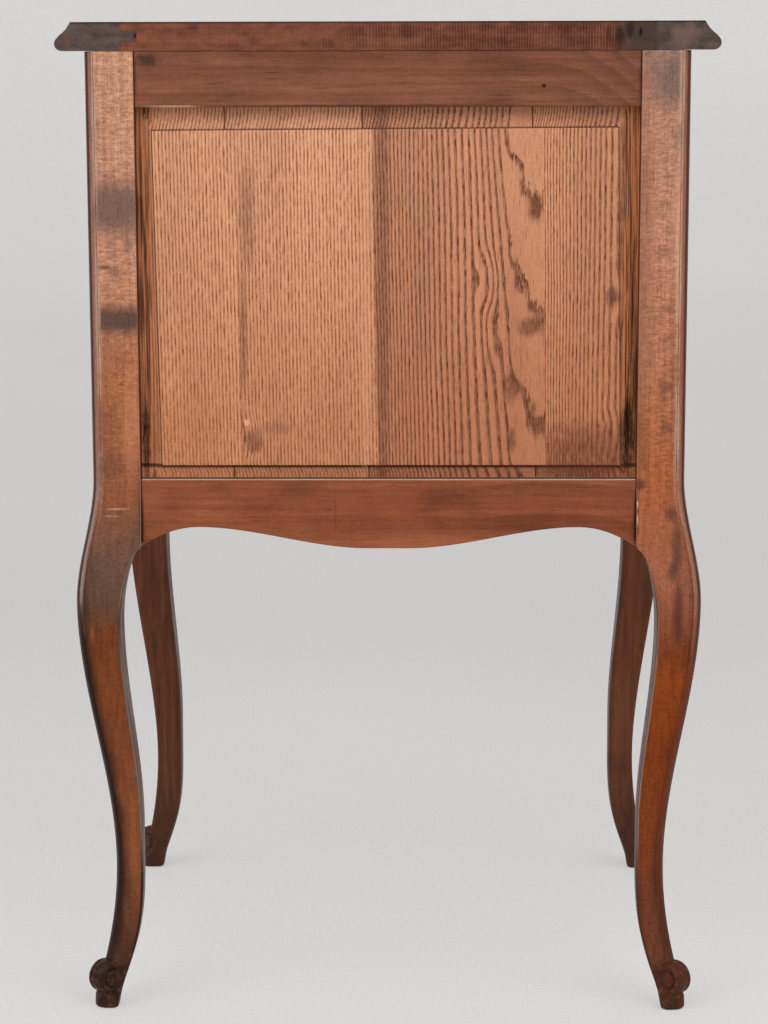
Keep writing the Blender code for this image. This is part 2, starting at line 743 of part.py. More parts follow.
def drawer_side(side):
    shoulder = DRAWER_FRONT_THICKNESS + FIT
    low = FIT
    high = DRAWER_GAP + DRAWER_SIDE_HEIGHT
    outline = [(shoulder, low)]
    for tail in drawer_tails(0.0):
        near_low, far_low, far_high, near_high = tail
        outline += [far_low, near_low, near_high, far_high]
    outline += [(shoulder, high), (DRAWER_LENGTH, high), (DRAWER_LENGTH, low)]
    inner = side * DRAWER_INSIDE
    outer = side * DRAWER_HALF
    board = prism(outline, "X", min(inner, outer), max(inner, outer))
    groove_low = DRAWER_GAP + DRAWER_BOTTOM_HEIGHT - FIT
    groove_high = groove_low + DRAWER_BOTTOM_THICKNESS + 2 * FIT
    groove_x = (side * (DRAWER_INSIDE - PAST), side * (DRAWER_INSIDE + DRAWER_BOTTOM_BITE + FIT))
    groove_end = DRAWER_LENGTH + PAST
    groove = box(min(groove_x), max(groove_x), shoulder - PAST, groove_end, groove_low, groove_high)
    dado_x = (side * (DRAWER_INSIDE - PAST), side * (DRAWER_INSIDE + DRAWER_DADO + FIT))
    dado_end = DRAWER_LENGTH - DRAWER_BACK_INSET + FIT
    dado_start = dado_end - DRAWER_BACK_THICKNESS - 2 * FIT
    dado = box(min(dado_x), max(dado_x), dado_start, dado_end, groove_high - FIT, high + PAST)
    return cut(board, groove, dado)


def drawer_back():
    end = DRAWER_LENGTH - DRAWER_BACK_INSET
    low = DRAWER_GAP + DRAWER_BOTTOM_HEIGHT + DRAWER_BOTTOM_THICKNESS + FIT
    high = DRAWER_GAP + DRAWER_SIDE_HEIGHT - DRAWER_BACK_DROP
    half = DRAWER_INSIDE + DRAWER_DADO
    return box(-half, half, end - DRAWER_BACK_THICKNESS, end, low, high)


def drawer_bottom():
    """A thin board in grooves in the front and the sides, slid in under the back."""
    wide = DRAWER_INSIDE + DRAWER_BOTTOM_BITE
    narrow = DRAWER_INSIDE - 2 * FIT
    start = DRAWER_FRONT_THICKNESS - DRAWER_BOTTOM_BITE
    shoulder = DRAWER_FRONT_THICKNESS + 2 * FIT
    end = DRAWER_LENGTH - DRAWER_BACK_INSET
    outline = [(-narrow, start), (narrow, start), (narrow, shoulder), (wide, shoulder)]
    outline += [(wide, end), (-wide, end), (-wide, shoulder), (-narrow, shoulder)]
    low = DRAWER_GAP + DRAWER_BOTTOM_HEIGHT
    return prism(outline, "Z", low, low + DRAWER_BOTTOM_THICKNESS)


# Pulls, made with the origin on the bail's hinge line, which lies along X


def plate_outline():
    """A lobed cartouche, wider than it is high."""
    lobed = []
    for i in range(2 * ROUND_STEPS):
        turn = math.pi * i / ROUND_STEPS
        swell = 1 - PLATE_LOBE * math.cos(4 * turn)
        lobed.append((swell * math.cos(turn), swell * math.sin(turn)))
    wide = PLATE_WIDTH / 2 / max(x for x, _ in lobed)
    high = PLATE_HEIGHT / 2 / max(z for _, z in lobed)
    return [(x * wide, z * high) for x, z in lobed]


def pull_plate():
    """The backplate, with the posts that carry the bail and the shanks that go through the front."""
    face = PULL_AXIS - FIT
    plate = prism(plate_outline(), "Y", face - PLATE_THICKNESS, face)
    shank = PULL_AXIS + DRAWER_FRONT_THICKNESS + BOW + PULL_SHANK_PROUD
    ball = PULL_BALL_RADIUS
    bore = BAIL_RADIUS + BAIL_BORE_GAP
    turns = spaced(math.pi * BALL_FLAT, math.pi * BALL_SHARE, BALL_STEPS)
    profile = [(-ball * math.cos(turn), ball * math.sin(turn)) for turn in turns]
    profile += [(ball, PULL_POST_RADIUS), (PULL_AXIS - PLATE_THICKNESS / 2, PULL_POST_RADIUS)]
    profile += [(PULL_AXIS - PLATE_THICKNESS / 2, PULL_SHANK_RADIUS), (shank, PULL_SHANK_RADIUS)]
    posts = []
    bores = []
    for side in (-1, 1):
        x = side * PULL_SPACING / 2
        posts.append(lathe(profile, (x, 0, 0), (0, 1, 0), (0, 0, 1)))
        bores.append(lathe([(-ball - PAST, bore), (ball + PAST, bore)], (x, 0, 0), (1, 0, 0), (0, 0, 1)))
    return cut(joined(plate, *posts), *bores)


def bail_path():
    """The bail's line as (x, z): in through each post, down an arm and round a sagging grip."""
    tip = PULL_SPACING / 2 - PULL_BALL_RADIUS + FIT
    arm = PULL_SPACING / 2 + PULL_BALL_RADIUS + BAIL_BEND
    half = [(tip, 0.0), (arm - BAIL_BEND, 0.0)]
    for i in range(1, CORNER_STEPS + 1):
        turn = math.pi / 2 * i / CORNER_STEPS
        half.append((arm - BAIL_BEND + BAIL_BEND * math.sin(turn), BAIL_BEND * (math.cos(turn) - 1)))
    grip_top = -BAIL_BEND - BAIL_ARM
    for i in range(EDGE_STEPS // 2 + 1):
        turn = math.pi / 2 * i / (EDGE_STEPS // 2)
        half.append((arm * math.cos(turn), grip_top + (grip_top + BAIL_DROP) * -math.sin(turn)))
    return [*half, *[(-x, z) for x, z in half[-2::-1]]]


def bail(name, finish, parent, place):
    """A bent rod, as a curve with a round bevel."""
    curve = bpy.data.curves.new(name, "CURVE")
    curve.dimensions = "3D"
    curve.bevel_depth = BAIL_RADIUS
    curve.bevel_resolution = BAIL_ROUND_STEPS
    curve.use_fill_caps = True
    line = curve.splines.new("POLY")
    path = bail_path()
    line.points.add(len(path) - 1)
    for point, (x, z) in zip(line.points, path):
        point.co = (x, 0.0, z, 1.0)
    curve.materials.append(finish)
    obj = bpy.data.objects.new(name, curve)
    bpy.context.scene.collection.objects.link(obj)
    obj.location = place
    obj.parent = parent
    return obj


def nut():
    """A square nut on a shank, against the inside of the drawer front."""
    half = NUT_WIDTH / 2
    low = PULL_AXIS + BOW + DRAWER_FRONT_THICKNESS + FIT
    block = box(-half, half, low, low + NUT_THICKNESS, -half, half)
    radius = PULL_SHANK_RADIUS + FIT
    bore = [(low - PAST, radius), (low + NUT_THICKNESS + PAST, radius)]
    return cut(block, lathe(bore, (0, 0, 0), (0, 1, 0), (0, 0, 1)))


# Assembly


def build_case(walnut, stained, chestnut, poplar):
    for name, mesh in top_pieces().items():
        piece(name, mesh, walnut)
    for end_name, end in (("front", -1), ("back", 1)):
        for side_name, side in (("left", -1), ("right", 1)):
            piece(f"leg_{end_name}_{side_name}", leg(side, end), walnut, smooth=True)
    piece("back_top_rail", frame_top_rail(INNER_X), stained)
    piece("back_apron", frame_apron(INNER_X), stained)
    for index, mesh in enumerate(back_boards()):
        piece(f"back_panel_board_{index + 1}", mesh, chestnut)
    for side_name, side in (("left", -1), ("right", 1)):
        piece(f"side_top_rail_{side_name}", turned(frame_top_rail(INNER_Y), side), walnut)
        piece(f"side_apron_{side_name}", turned(frame_apron(INNER_Y), side), walnut)
        panel = fielded_panel(INNER_Y, SIDE_MARGIN, SIDE_MARGIN, SIDE_MARGIN)
        piece(f"side_panel_{side_name}", turned(panel, side), walnut)
    *dividers, top = front_rail_middles()
    for name, middle in zip(DIVIDER_NAMES, dividers):
        piece(f"drawer_divider_{name}", front_rail(middle, DIVIDER_HEIGHT), walnut)
    piece("front_top_rail", front_rail(top - FIT / 2, FRONT_RAIL_HEIGHT - FIT), walnut)
    piece("front_apron", front_apron(), walnut)
    for side_name, side in (("left", -1), ("right", 1)):
        for index, name in enumerate(DRAWER_NAMES):
            start = FRONT_Y + FIT + (DIVIDER_DEPTH if index else RAIL_THICKNESS)
            floor = bay_floor(index)
            strip = side_strip(side, start, floor - DIVIDER_HEIGHT, floor, RUNNER_STOP_HEIGHT)
            piece(f"drawer_runner_{name}_{side_name}", strip, poplar)
        start = FRONT_Y + DIVIDER_DEPTH + FIT
        strip = side_strip(side, start, CASE_TOP - FRONT_RAIL_HEIGHT, CASE_TOP - FIT)
        piece(f"drawer_kicker_{side_name}", strip, poplar)


def build_drawers(walnut, poplar, brass):
    meshes = {
        "front": (drawer_front(), walnut),
        "side_left": (drawer_side(-1), poplar),
        "side_right": (drawer_side(1), poplar),
        "back": (drawer_back(), poplar),
        "bottom": (drawer_bottom(), poplar),
    }
    plate = pull_plate()
    fastener = nut()
    for index, name in enumerate(DRAWER_NAMES):
        drawer = empty(f"drawer_{name}", (0.0, FRONT_Y, bay_floor(index)))
        for part_name, (mesh, finish) in meshes.items():
            piece(f"drawer_{name}_{part_name}", mesh, finish, drawer)
        hinge = (0.0, -BOW - PULL_AXIS, BAY_HEIGHT / 2)
        piece(f"pull_plate_{name}", plate, brass, drawer, smooth=True, place=hinge)
        bail(f"pull_bail_{name}", brass, drawer, hinge)
        for side_name, side in (("left", -1), ("right", 1)):
            place = (side * PULL_SPACING / 2, hinge[1], hinge[2])
            piece(f"pull_nut_{name}_{side_name}", fastener, brass, drawer, place=place)


def main():
    for obj in list(bpy.data.objects):
        bpy.data.objects.remove(obj)
    walnut = material("walnut", (0.16, 0.055, 0.022), 0.45)
    stained = material("stained_walnut", (0.19, 0.070, 0.032), 0.6)
    chestnut = material("chestnut", (0.42, 0.20, 0.10), 0.65)
    poplar = material("poplar", (0.45, 0.30, 0.17), 0.7)
    brass = material("brass", (0.55, 0.36, 0.12), 0.35, 1.0)
    build_case(walnut, stained, chestnut, poplar)
    build_drawers(walnut, poplar, brass)


main()
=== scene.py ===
"""The looks of a period nightstand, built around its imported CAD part.

Metres, +Z up. The drawers face -Y, and the panelled back, which the camera sees, faces +Y.
"""

import math

import bmesh
import bpy
from mathutils import Matrix, Vector


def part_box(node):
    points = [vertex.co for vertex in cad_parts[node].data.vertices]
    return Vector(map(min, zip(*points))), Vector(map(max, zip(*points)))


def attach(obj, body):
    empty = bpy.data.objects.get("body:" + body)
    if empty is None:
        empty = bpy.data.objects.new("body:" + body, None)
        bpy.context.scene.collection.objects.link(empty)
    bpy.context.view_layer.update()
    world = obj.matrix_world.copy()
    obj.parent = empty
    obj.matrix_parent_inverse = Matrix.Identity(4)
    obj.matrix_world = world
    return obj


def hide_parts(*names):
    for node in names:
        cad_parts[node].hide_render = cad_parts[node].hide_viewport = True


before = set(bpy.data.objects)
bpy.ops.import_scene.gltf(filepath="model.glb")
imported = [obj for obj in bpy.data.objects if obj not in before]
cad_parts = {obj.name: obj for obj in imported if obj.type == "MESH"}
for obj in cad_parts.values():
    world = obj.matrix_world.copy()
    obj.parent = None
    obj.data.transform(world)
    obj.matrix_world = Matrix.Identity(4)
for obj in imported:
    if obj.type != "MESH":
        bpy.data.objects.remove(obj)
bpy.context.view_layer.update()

# Camera: its place from the middle of the back's plane, its turn, and its focal length in pixels
IMAGE_HEIGHT = 1024
FOCAL_PIXELS = 2700
SENSOR = 36.0
CAMERA_RIGHT = 0.02927
CAMERA_AWAY = 1.91004
CAMERA_HEIGHT = 0.70819
CAMERA_PITCH = 0.17362
CAMERA_YAW = -0.01692
CAMERA_ROLL = -0.00258

# Places taken from the frame
TOP_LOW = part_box("top_board")[0].z
TOP_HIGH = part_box("top_board")[1].z
TOP_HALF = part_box("top_end_right")[1].x
BACK_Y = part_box("back_top_rail")[1].y
RAIL_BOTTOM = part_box("back_top_rail")[0].z
APRON_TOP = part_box("back_apron")[1].z
FIT = 0.0003

# Case
BODY_WIDTH = 0.425
BODY_DEPTH = 0.353
POST = 0.035
RAIL_THICKNESS = 0.020
FRONT_Y = BACK_Y - BODY_DEPTH
MIDDLE_Y = BACK_Y - BODY_DEPTH / 2
INNER_X = BODY_WIDTH / 2 - POST
INNER_Y = BODY_DEPTH / 2 - POST
SIDES = (("left", -1), ("right", 1))

# Top: (set in, height) along its moulded edge
TOP_THICKNESS = TOP_HIGH - TOP_LOW
TOP_OVERHANG = TOP_HALF - BODY_WIDTH / 2
TOP_CORNER = 0.014
TOP_END_WIDTH = 0.0465
TOP_TONGUE_LENGTH = 0.0108
TOP_TONGUE_HEIGHT = 0.0065
TOP_EDGE = (
    (0.0050, 0.0), (0.0027, 0.0006), (0.0009, 0.0021), (0.0001, 0.0041), (0.0, 0.0053), (0.0005, 0.0070),
    (0.0014, 0.0085), (0.0035, 0.0108), (0.0059, 0.0127), (0.0079, 0.0146), (0.0095, 0.0168),
    (0.0108, 0.0188), (0.0115, TOP_THICKNESS),
)

# Legs
SPINE_RADIUS = 0.0063
SPINE_QUIRK = 0.0005
SPINE_QUIRK_WIDTH = 0.0003
POST_ARRIS = 0.0008
LEG_ARRIS = 0.0022
LEG_INNER_ARRIS = 0.005
KNEE_HEIGHT = 0.3085
KNEE_REACH = 0.0123
KNEE_HOLLOW_HEIGHT = 0.291
KNEE_HOLLOW = 0.0155
KNEE_HOLLOW_POWER = 0.6
ANKLE_HEIGHT = 0.107
ANKLE_SET_IN = 0.0101
ANKLE_INNER_HEIGHT = 0.1367
ANKLE_INNER_SET_IN = 0.0305
FOOT_SWEEP = 0.0192
FOOT_REACH = 0.0060
FOOT_INNER_SET_IN = 0.0117
FOOT_DELAY = 2.36
FOOT_PAD_HEIGHT = 0.010
FOOT_PAD_ARRIS = 0.004
FOOT_ROUND = 0.0026
SCROLL_HEIGHT = 0.0228
SCROLL_SET_IN = 0.0027
SCROLL_WIDTH = 0.015
# The hollow that the carver takes out of the leg beside the roll, as (distance past the roll's end, radius)
SCROLL_HOLLOW = ((-0.0008, 0.0090), (0.0052, 0.0150), (0.0200, 0.0160))
# Half of the roll's outline, as (distance in from its end, radius), from the eye to the middle of its rim
SCROLL_PROFILE = (
    (-0.0012, 0.0008), (-0.0012, 0.0030), (-0.0009, 0.0048), (-0.0002, 0.0058), (0.0007, 0.0063),
    (0.0013, 0.0067), (0.0012, 0.0072), (0.0003, 0.0078), (-0.0001, 0.0088), (0.0, 0.0100),
    (0.0005, 0.0112), (0.0013, 0.0120), (0.0022, 0.0124), (0.0030, 0.0123), (0.0036, 0.0118),
    (0.0042, 0.0118), (0.0048, 0.0123), (0.0058, 0.0125), (0.0068, 0.0125),
)

# Aprons
APRON_MIDDLE_HEIGHT = 0.0505
APRON_ARCH_HEIGHT = 0.035
APRON_END_HEIGHT = 0.049
APRON_ARCH_FROM_POST = 0.041
APRON_FLAT = 0.015
BRACKET_TOP = APRON_TOP - APRON_END_HEIGHT

# Panels
GROOVE_INSET = 0.010
PANEL_EDGE = 0.006
PANEL_BITE = 0.006
FIELD_INSET = 0.004
FIELD_SHOULDER = 0.003
FIELD_WEAR = 0.0004
COVE_POWER = 1.7
BACK_MARGINS = (0.0135, 0.0157, 0.0096)
SIDE_MARGINS = (0.014, 0.014, 0.014)
BOARD_SEAMS = (-0.104, 0.016, 0.113)
BOARD_LAP = 0.007
BOARD_GAP = 0.00004
MARGIN_GAP = 0.0013
BOARD_FLARE = 0.002
GRAIN_LEAN = 0.0158
FIELD_TILT = 0.0055
PANEL_MIDDLE = (APRON_TOP + RAIL_BOTTOM) / 2

# Front
BOW = 0.014
BOW_RUN = 0.098
DIVIDER_DEPTH = 0.028
DRAWER_NAMES = ("lower", "middle", "upper")
# The bead round a drawer front, as (distance from the edge, how far back)
DRAWER_BEAD = (
    (0.0, 0.0016), (0.0003, 0.0008), (0.0009, 0.0003), (0.0017, 0.0001), (0.0025, 0.0003), (0.0031, 0.0008),
    (0.0034, 0.0013), (0.0039, 0.0013), (0.0044, 0.0006), (0.0050, 0.0002), (0.0060, 0.0001),
)
DRAWER_FRONT_THICKNESS = 0.020

# Pulls
PULL_SPACING = 0.064
PULL_AXIS = 0.014
PLATE_LOBE = 0.12
# The plate's relief, as (share of its outline, how far out from its back)
PLATE_RELIEF = (
    (1.0, 0.0), (1.0, 0.0010), (0.985, 0.0016), (0.955, 0.0019), (0.915, 0.0018), (0.885, 0.0013),
    (0.845, 0.0012), (0.60, 0.0016), (0.30, 0.0019),
)
PULL_BALL_RADIUS = 0.0055
PULL_BALL_TURNS = (math.pi / 40, math.pi * 0.72)
PULL_POST_RADIUS = 0.0035
# The collar at a post's foot, as (distance from its end, radius)
PULL_COLLAR = (
    (0.0045, PULL_POST_RADIUS), (0.0036, 0.0060), (0.0026, 0.00636), (0.0018, 0.0060),
    (0.0, PULL_POST_RADIUS),
)
BAIL_RADIUS = 0.0022
BAIL_SWELL = 0.35
BAIL_DROP = 0.026
BAIL_ARM = 0.010
BAIL_BEND = 0.006

# How finely shapes are cut
LEG_STEPS = 110
SPINE_STEPS = 10
CORNER_STEPS = 5
EDGE_STEPS = 72
ROUND_STEPS = 64
BALL_STEPS = 14
MARGIN_STEPS = 7
FIELD_STEPS = 10
SMOOTH_ANGLE = math.radians(38)
EDGE_BEVEL = 0.0007
PAST = 0.004
WELD = 0.00001
PIECE_BEVEL_STEPS = 3
KEPT_BEVEL_STEPS = 2

# Colours
WALNUT_DARK = (0.066, 0.020, 0.009, 1.0)
WALNUT_LIGHT = (0.170, 0.054, 0.022, 1.0)
# Dark varnish; also painted shade on the legs' edges and painted shadow round the panel's field
DARK_VARNISH_AND_SHADE = (0.032, 0.012, 0.007, 1.0)
PORE = (0.017, 0.006, 0.004, 1.0)
SMUDGE = (0.162, 0.080, 0.055, 1.0)
# Wear with a painted highlight, along the posts' arrises and the beads' edges
RUBBED_AND_HIGHLIGHT = (0.540, 0.340, 0.250, 1.0)
# Painted shade where a bare bead turns away
BEAD_PAINTED_SHADE = (0.050, 0.016, 0.010, 1.0)
# A painted reflection along the legs' inner arrises
ARRIS_HIGHLIGHT = (0.420, 0.350, 0.300, 1.0)
# A dusty film with a painted highlight, for the apron's upper edge
DUST_AND_HIGHLIGHT = (0.560, 0.440, 0.340, 1.0)
# Tints that leave the back boards darker and warmer low down, lighter high up
BOARD_LOW = (0.860, 0.755, 0.690, 1.0)
BOARD_HIGH = (1.080, 1.100, 1.130, 1.0)
# Dirt with painted shade, for the panel's recessed side margins and the apron's top
DIRT_AND_SHADE = (0.060, 0.021, 0.011, 1.0)
DIRT_AND_SHADE_PALE = (0.680, 0.228, 0.086, 1.0)
FLOOR_DARK = (0.640, 0.625, 0.615, 1.0)
FLOOR_LIGHT = (0.715, 0.705, 0.700, 1.0)
FLOOR_GLOW = 1.0
FLOOR_PLAIN = 0.62

# Finishes: how deep their relief is, and how much they shine
FINE_RELIEF = 0.0002
OPEN_RELIEF = 0.0003
BRASS_RELIEF = 0.00008
RELIEF_STRENGTH = 0.6
BARE_SHINE = 0.10
RAIL_SHINE = 0.12
POLISHED_SHINE = 0.15
VARNISH_SHINE = 0.16
BRASS_SHINE = 0.5

# Wear, painted shade, painted highlights, painted sheen and painted light: heights, or widths from an edge,
# between which it comes or goes
DARKER_BELOW = (0.0, 0.10)
BOUNDARY_WANDER = 0.03
BARE_FROM = (-0.008, 0.012)
BEAD_FADES = (-0.02, 0.08)
EDGE_WANDER = 0.012
EDGES_DARK_BELOW = (0.30, 0.36)
OUTER_EDGE_DARK = (0.004, 0.013)
INNER_EDGE_DARK = (0.0, 0.006)
POST_RUBBED_HIGHLIGHT = (0.0068, 0.0094)
POST_RUBBED_HIGHLIGHT_ABOVE = (0.35, 0.42)
LEG_ARRIS_HIGHLIGHT = (0.0, 0.0006, 0.0010, 0.0022)
LEG_ARRIS_HIGHLIGHT_BETWEEN = (0.09, 0.14, 0.25, 0.32)
FACE_FLECKED = (0.33, 0.46)
KNEE_SHINE_FROM = (0.296, 0.318)
KNEE_SHINE_TO = (0.36, 0.42)
SIDE_DARK_BELOW = (0.02, 0.20)
CORNER_WORN_HIGHLIGHT_ABOVE = (0.26, 0.34)
FOOT_SCUFFED_BELOW = (0.036, 0.050)
RAIL_LINES_FADE = (-0.02, 0.06)
SAW_MARKS_FADE = (-0.02, 0.06)
TOP_RIM = (-0.0016, -0.0006)
FLOOR_FADES = (-1.3, 0.1)
BACKDROP_FADES = (0.1, 1.0)

# Dirt and painted shade on the panel's margins, painted light on the lowest, and painted shadow round its
# field: widths from the frame, heights from the field's lower edge, and depths behind the field
DIRT_AND_SHADE_WIDTH = 0.016
DIRT_AND_SHADE_FULL_WIDTH = 0.008
DIRT_AND_SHADE_DEPTH = (0.0022, 0.0052)
LOW_MARGIN_PAINTED_LIGHT = (-0.001, 0.0)
FIELD_SHADE = (-0.0034, -0.0014, 0.0, 0.001)
FIELD_SHADE_DEPTH = (0.0008, 0.0020)
FIELD_FOOT_SHADE = (0.0006, 0.0012, 0.0031, 0.0036)

# Curves that finishes follow
CURVE_STEPS = 24
CURVE_REACH = 0.1

# Lines in the back boards and rails, counted for each metre
GRAIN_SLANT = 0.8
DASHES = 120.0
YEAR_STEP = 5.3
FINE_WANDER = 0.0013
RAIL_WANDER = 0.030
RAIL_SLANT = 0.02
EVEN_LINES = 392.0
EVEN_RISE = 1.0
SPREAD_CENTRE = -0.190
SPREAD_LINES = 3400.0
SPREAD_RISE = 3.0
FLAME_CENTRE = -0.1065
FLAME_TIP = 0.003
FLAME_CORE = 0.020
FLAME_CORE_EDGE = (-0.092, -0.076)
FLAME_CORE_LINES = 34.0
FLAME_LINES = 150.0
FLAME_REACH = 0.050
FLAME_PHASE = 0.79
FLAME_JAG = 0.020
FLAME_FINE_LINES = 1900.0
FLAME_RISE = 13.0
FLAME_RISE_FADES = (0.020, 0.055)


# Shapes


def eased(share):
    share = min(max(share, 0.0), 1.0)
    return share * share * (3 - 2 * share)


def spaced(low, high, steps):
    return [low + (high - low) * i / steps for i in range(steps + 1)]


def mesh_of(shape):
    bmesh.ops.recalc_face_normals(shape, faces=shape.faces)
    mesh = bpy.data.meshes.new("shape")
    shape.to_mesh(mesh)
    shape.free()
    return mesh


def loft(rings):
    """A closed mesh through rings of points, with a flat face at each end."""
    shape = bmesh.new()
    rows = [[shape.verts.new(point) for point in ring] for ring in rings]
    for low, high in zip(rows, rows[1:]):
        for i in range(len(low)):
            j = (i + 1) % len(low)
            shape.faces.new((low[i], low[j], high[j], high[i]))
    shape.faces.new(rows[0])
    shape.faces.new(rows[-1])
    return mesh_of(shape)


def prism(outline, axis, low, high):
    """An outline pushed along an axis. Its coordinates are the other two axes, in order."""
    place = {
        "X": lambda a, b, along: (along, a, b),
        "Y": lambda a, b, along: (a, along, b),
        "Z": lambda a, b, along: (a, b, along),
    }[axis]
    return loft([[place(a, b, along) for a, b in outline] for along in (low, high)])


def lathe(profile, centre, along, across):
    """Rings of (distance along the axis, radius), turned about an axis through centre."""
    along = Vector(along)
    across = Vector(across)
    third = along.cross(across)
    rings = []
    for distance, radius in profile:
        ring = []
        for i in range(ROUND_STEPS):
            turn = 2 * math.pi * i / ROUND_STEPS
            out = across * math.cos(turn) + third * math.sin(turn)
            ring.append(Vector(centre) + along * distance + out * radius)
        rings.append(ring)
    return loft(rings)


def relief(rows, back, flare=0.0):
    """A slab whose face goes through rows of points, and whose other face lies flat at a depth (Y).

    That face is wider by flare at each end, so that slabs side by side close behind.
    """
    shape = bmesh.new()
    face = [[shape.verts.new(point) for point in row] for row in rows]
    for low, high in zip(face, face[1:]):
        for i in range(len(low) - 1):
            shape.faces.new((low[i], low[i + 1], high[i + 1], high[i]))
    right = [row[-1] for row in face]
    left = [row[0] for row in face]
    rim = [*face[0][1:-1], *right, *face[-1][-2:0:-1], *reversed(left)]
    shift = {**dict.fromkeys(right, flare), **dict.fromkeys(left, -flare)}
    behind = [shape.verts.new((v.co.x + shift.get(v, 0.0), back, v.co.z)) for v in rim]
    for i in range(len(rim)):
        j = (i + 1) % len(rim)
        shape.faces.new((rim[i], rim[j], behind[j], behind[i]))
    shape.faces.new(behind)
    return mesh_of(shape)


def boolean(base, others, operation):
    """A mesh cut by or joined to others, with the slivers that this leaves taken out."""
    scene = bpy.context.scene.collection
    body = bpy.data.objects.new("shape", base)
    tools = [bpy.data.objects.new("tool", other) for other in others]
    for obj in (body, *tools):
        scene.objects.link(obj)
    for tool in tools:
        modifier = body.modifiers.new("Boolean", "BOOLEAN")
        modifier.operation = operation
        modifier.object = tool
    bpy.context.view_layer.update()
    graph = bpy.context.evaluated_depsgraph_get()
    made = bpy.data.meshes.new_from_object(body.evaluated_get(graph))
    for obj in (body, *tools):
        bpy.data.objects.remove(obj)
    shape = bmesh.new()
    shape.from_mesh(made)
    bmesh.ops.dissolve_degenerate(shape, edges=shape.edges, dist=WELD)
    bmesh.ops.remove_doubles(shape, verts=shape.verts, dist=WELD)
    shape.to_mesh(made)
    shape.free()
    return made


def round_edges(obj, width, steps):
    modifier = obj.modifiers.new("Bevel", "BEVEL")
    modifier.width = width
    modifier.segments = steps
    modifier.angle_limit = SMOOTH_ANGLE


def piece(node, mesh, finish, body="carcass", bevel=0.0):
    """A finer piece that stands for a CAD node and moves with its body."""
    obj = bpy.data.objects.new(f"{node}_look", mesh)
    bpy.context.scene.collection.objects.link(obj)
    mesh.materials.append(finish)
    mesh.shade_smooth()
    mesh.set_sharp_from_angle(angle=SMOOTH_ANGLE)
    if bevel:
        round_edges(obj, bevel, PIECE_BEVEL_STEPS)
    obj.modifiers.new("Normals", "WEIGHTED_NORMAL").keep_sharp = True
    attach(obj, body)
    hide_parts(node)


def keep(node, finish):
    """A CAD node that stays, with a better finish and eased edges."""
    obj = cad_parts[node]
    for place in obj.material_slots:
        place.material = finish
    round_edges(obj, EDGE_BEVEL / 2, KEPT_BEVEL_STEPS)


# Materials


def colour(red, green, blue):
    """A colour as seen on a screen, each part from 0 to 255, made linear."""
    parts = [part / 255 for part in (red, green, blue)]
    return (*[p / 12.92 if p <= 0.04045 else ((p + 0.055) / 1.055) ** 2.4 for p in parts], 1.0)


def tones_at(*rows):
    """Colours at heights, from rows of (height, red, green, blue)."""
    return [(height, colour(*parts)) for height, *parts in rows]


def patches(*rows):
    """Patches of colour, from rows of (x, z, half width, half height, red, green, blue, share)."""
    made = []
    for x, z, wide, tall, *parts, share in rows:
        made.append(((x, z), (wide, tall), colour(*parts), share))
    return made


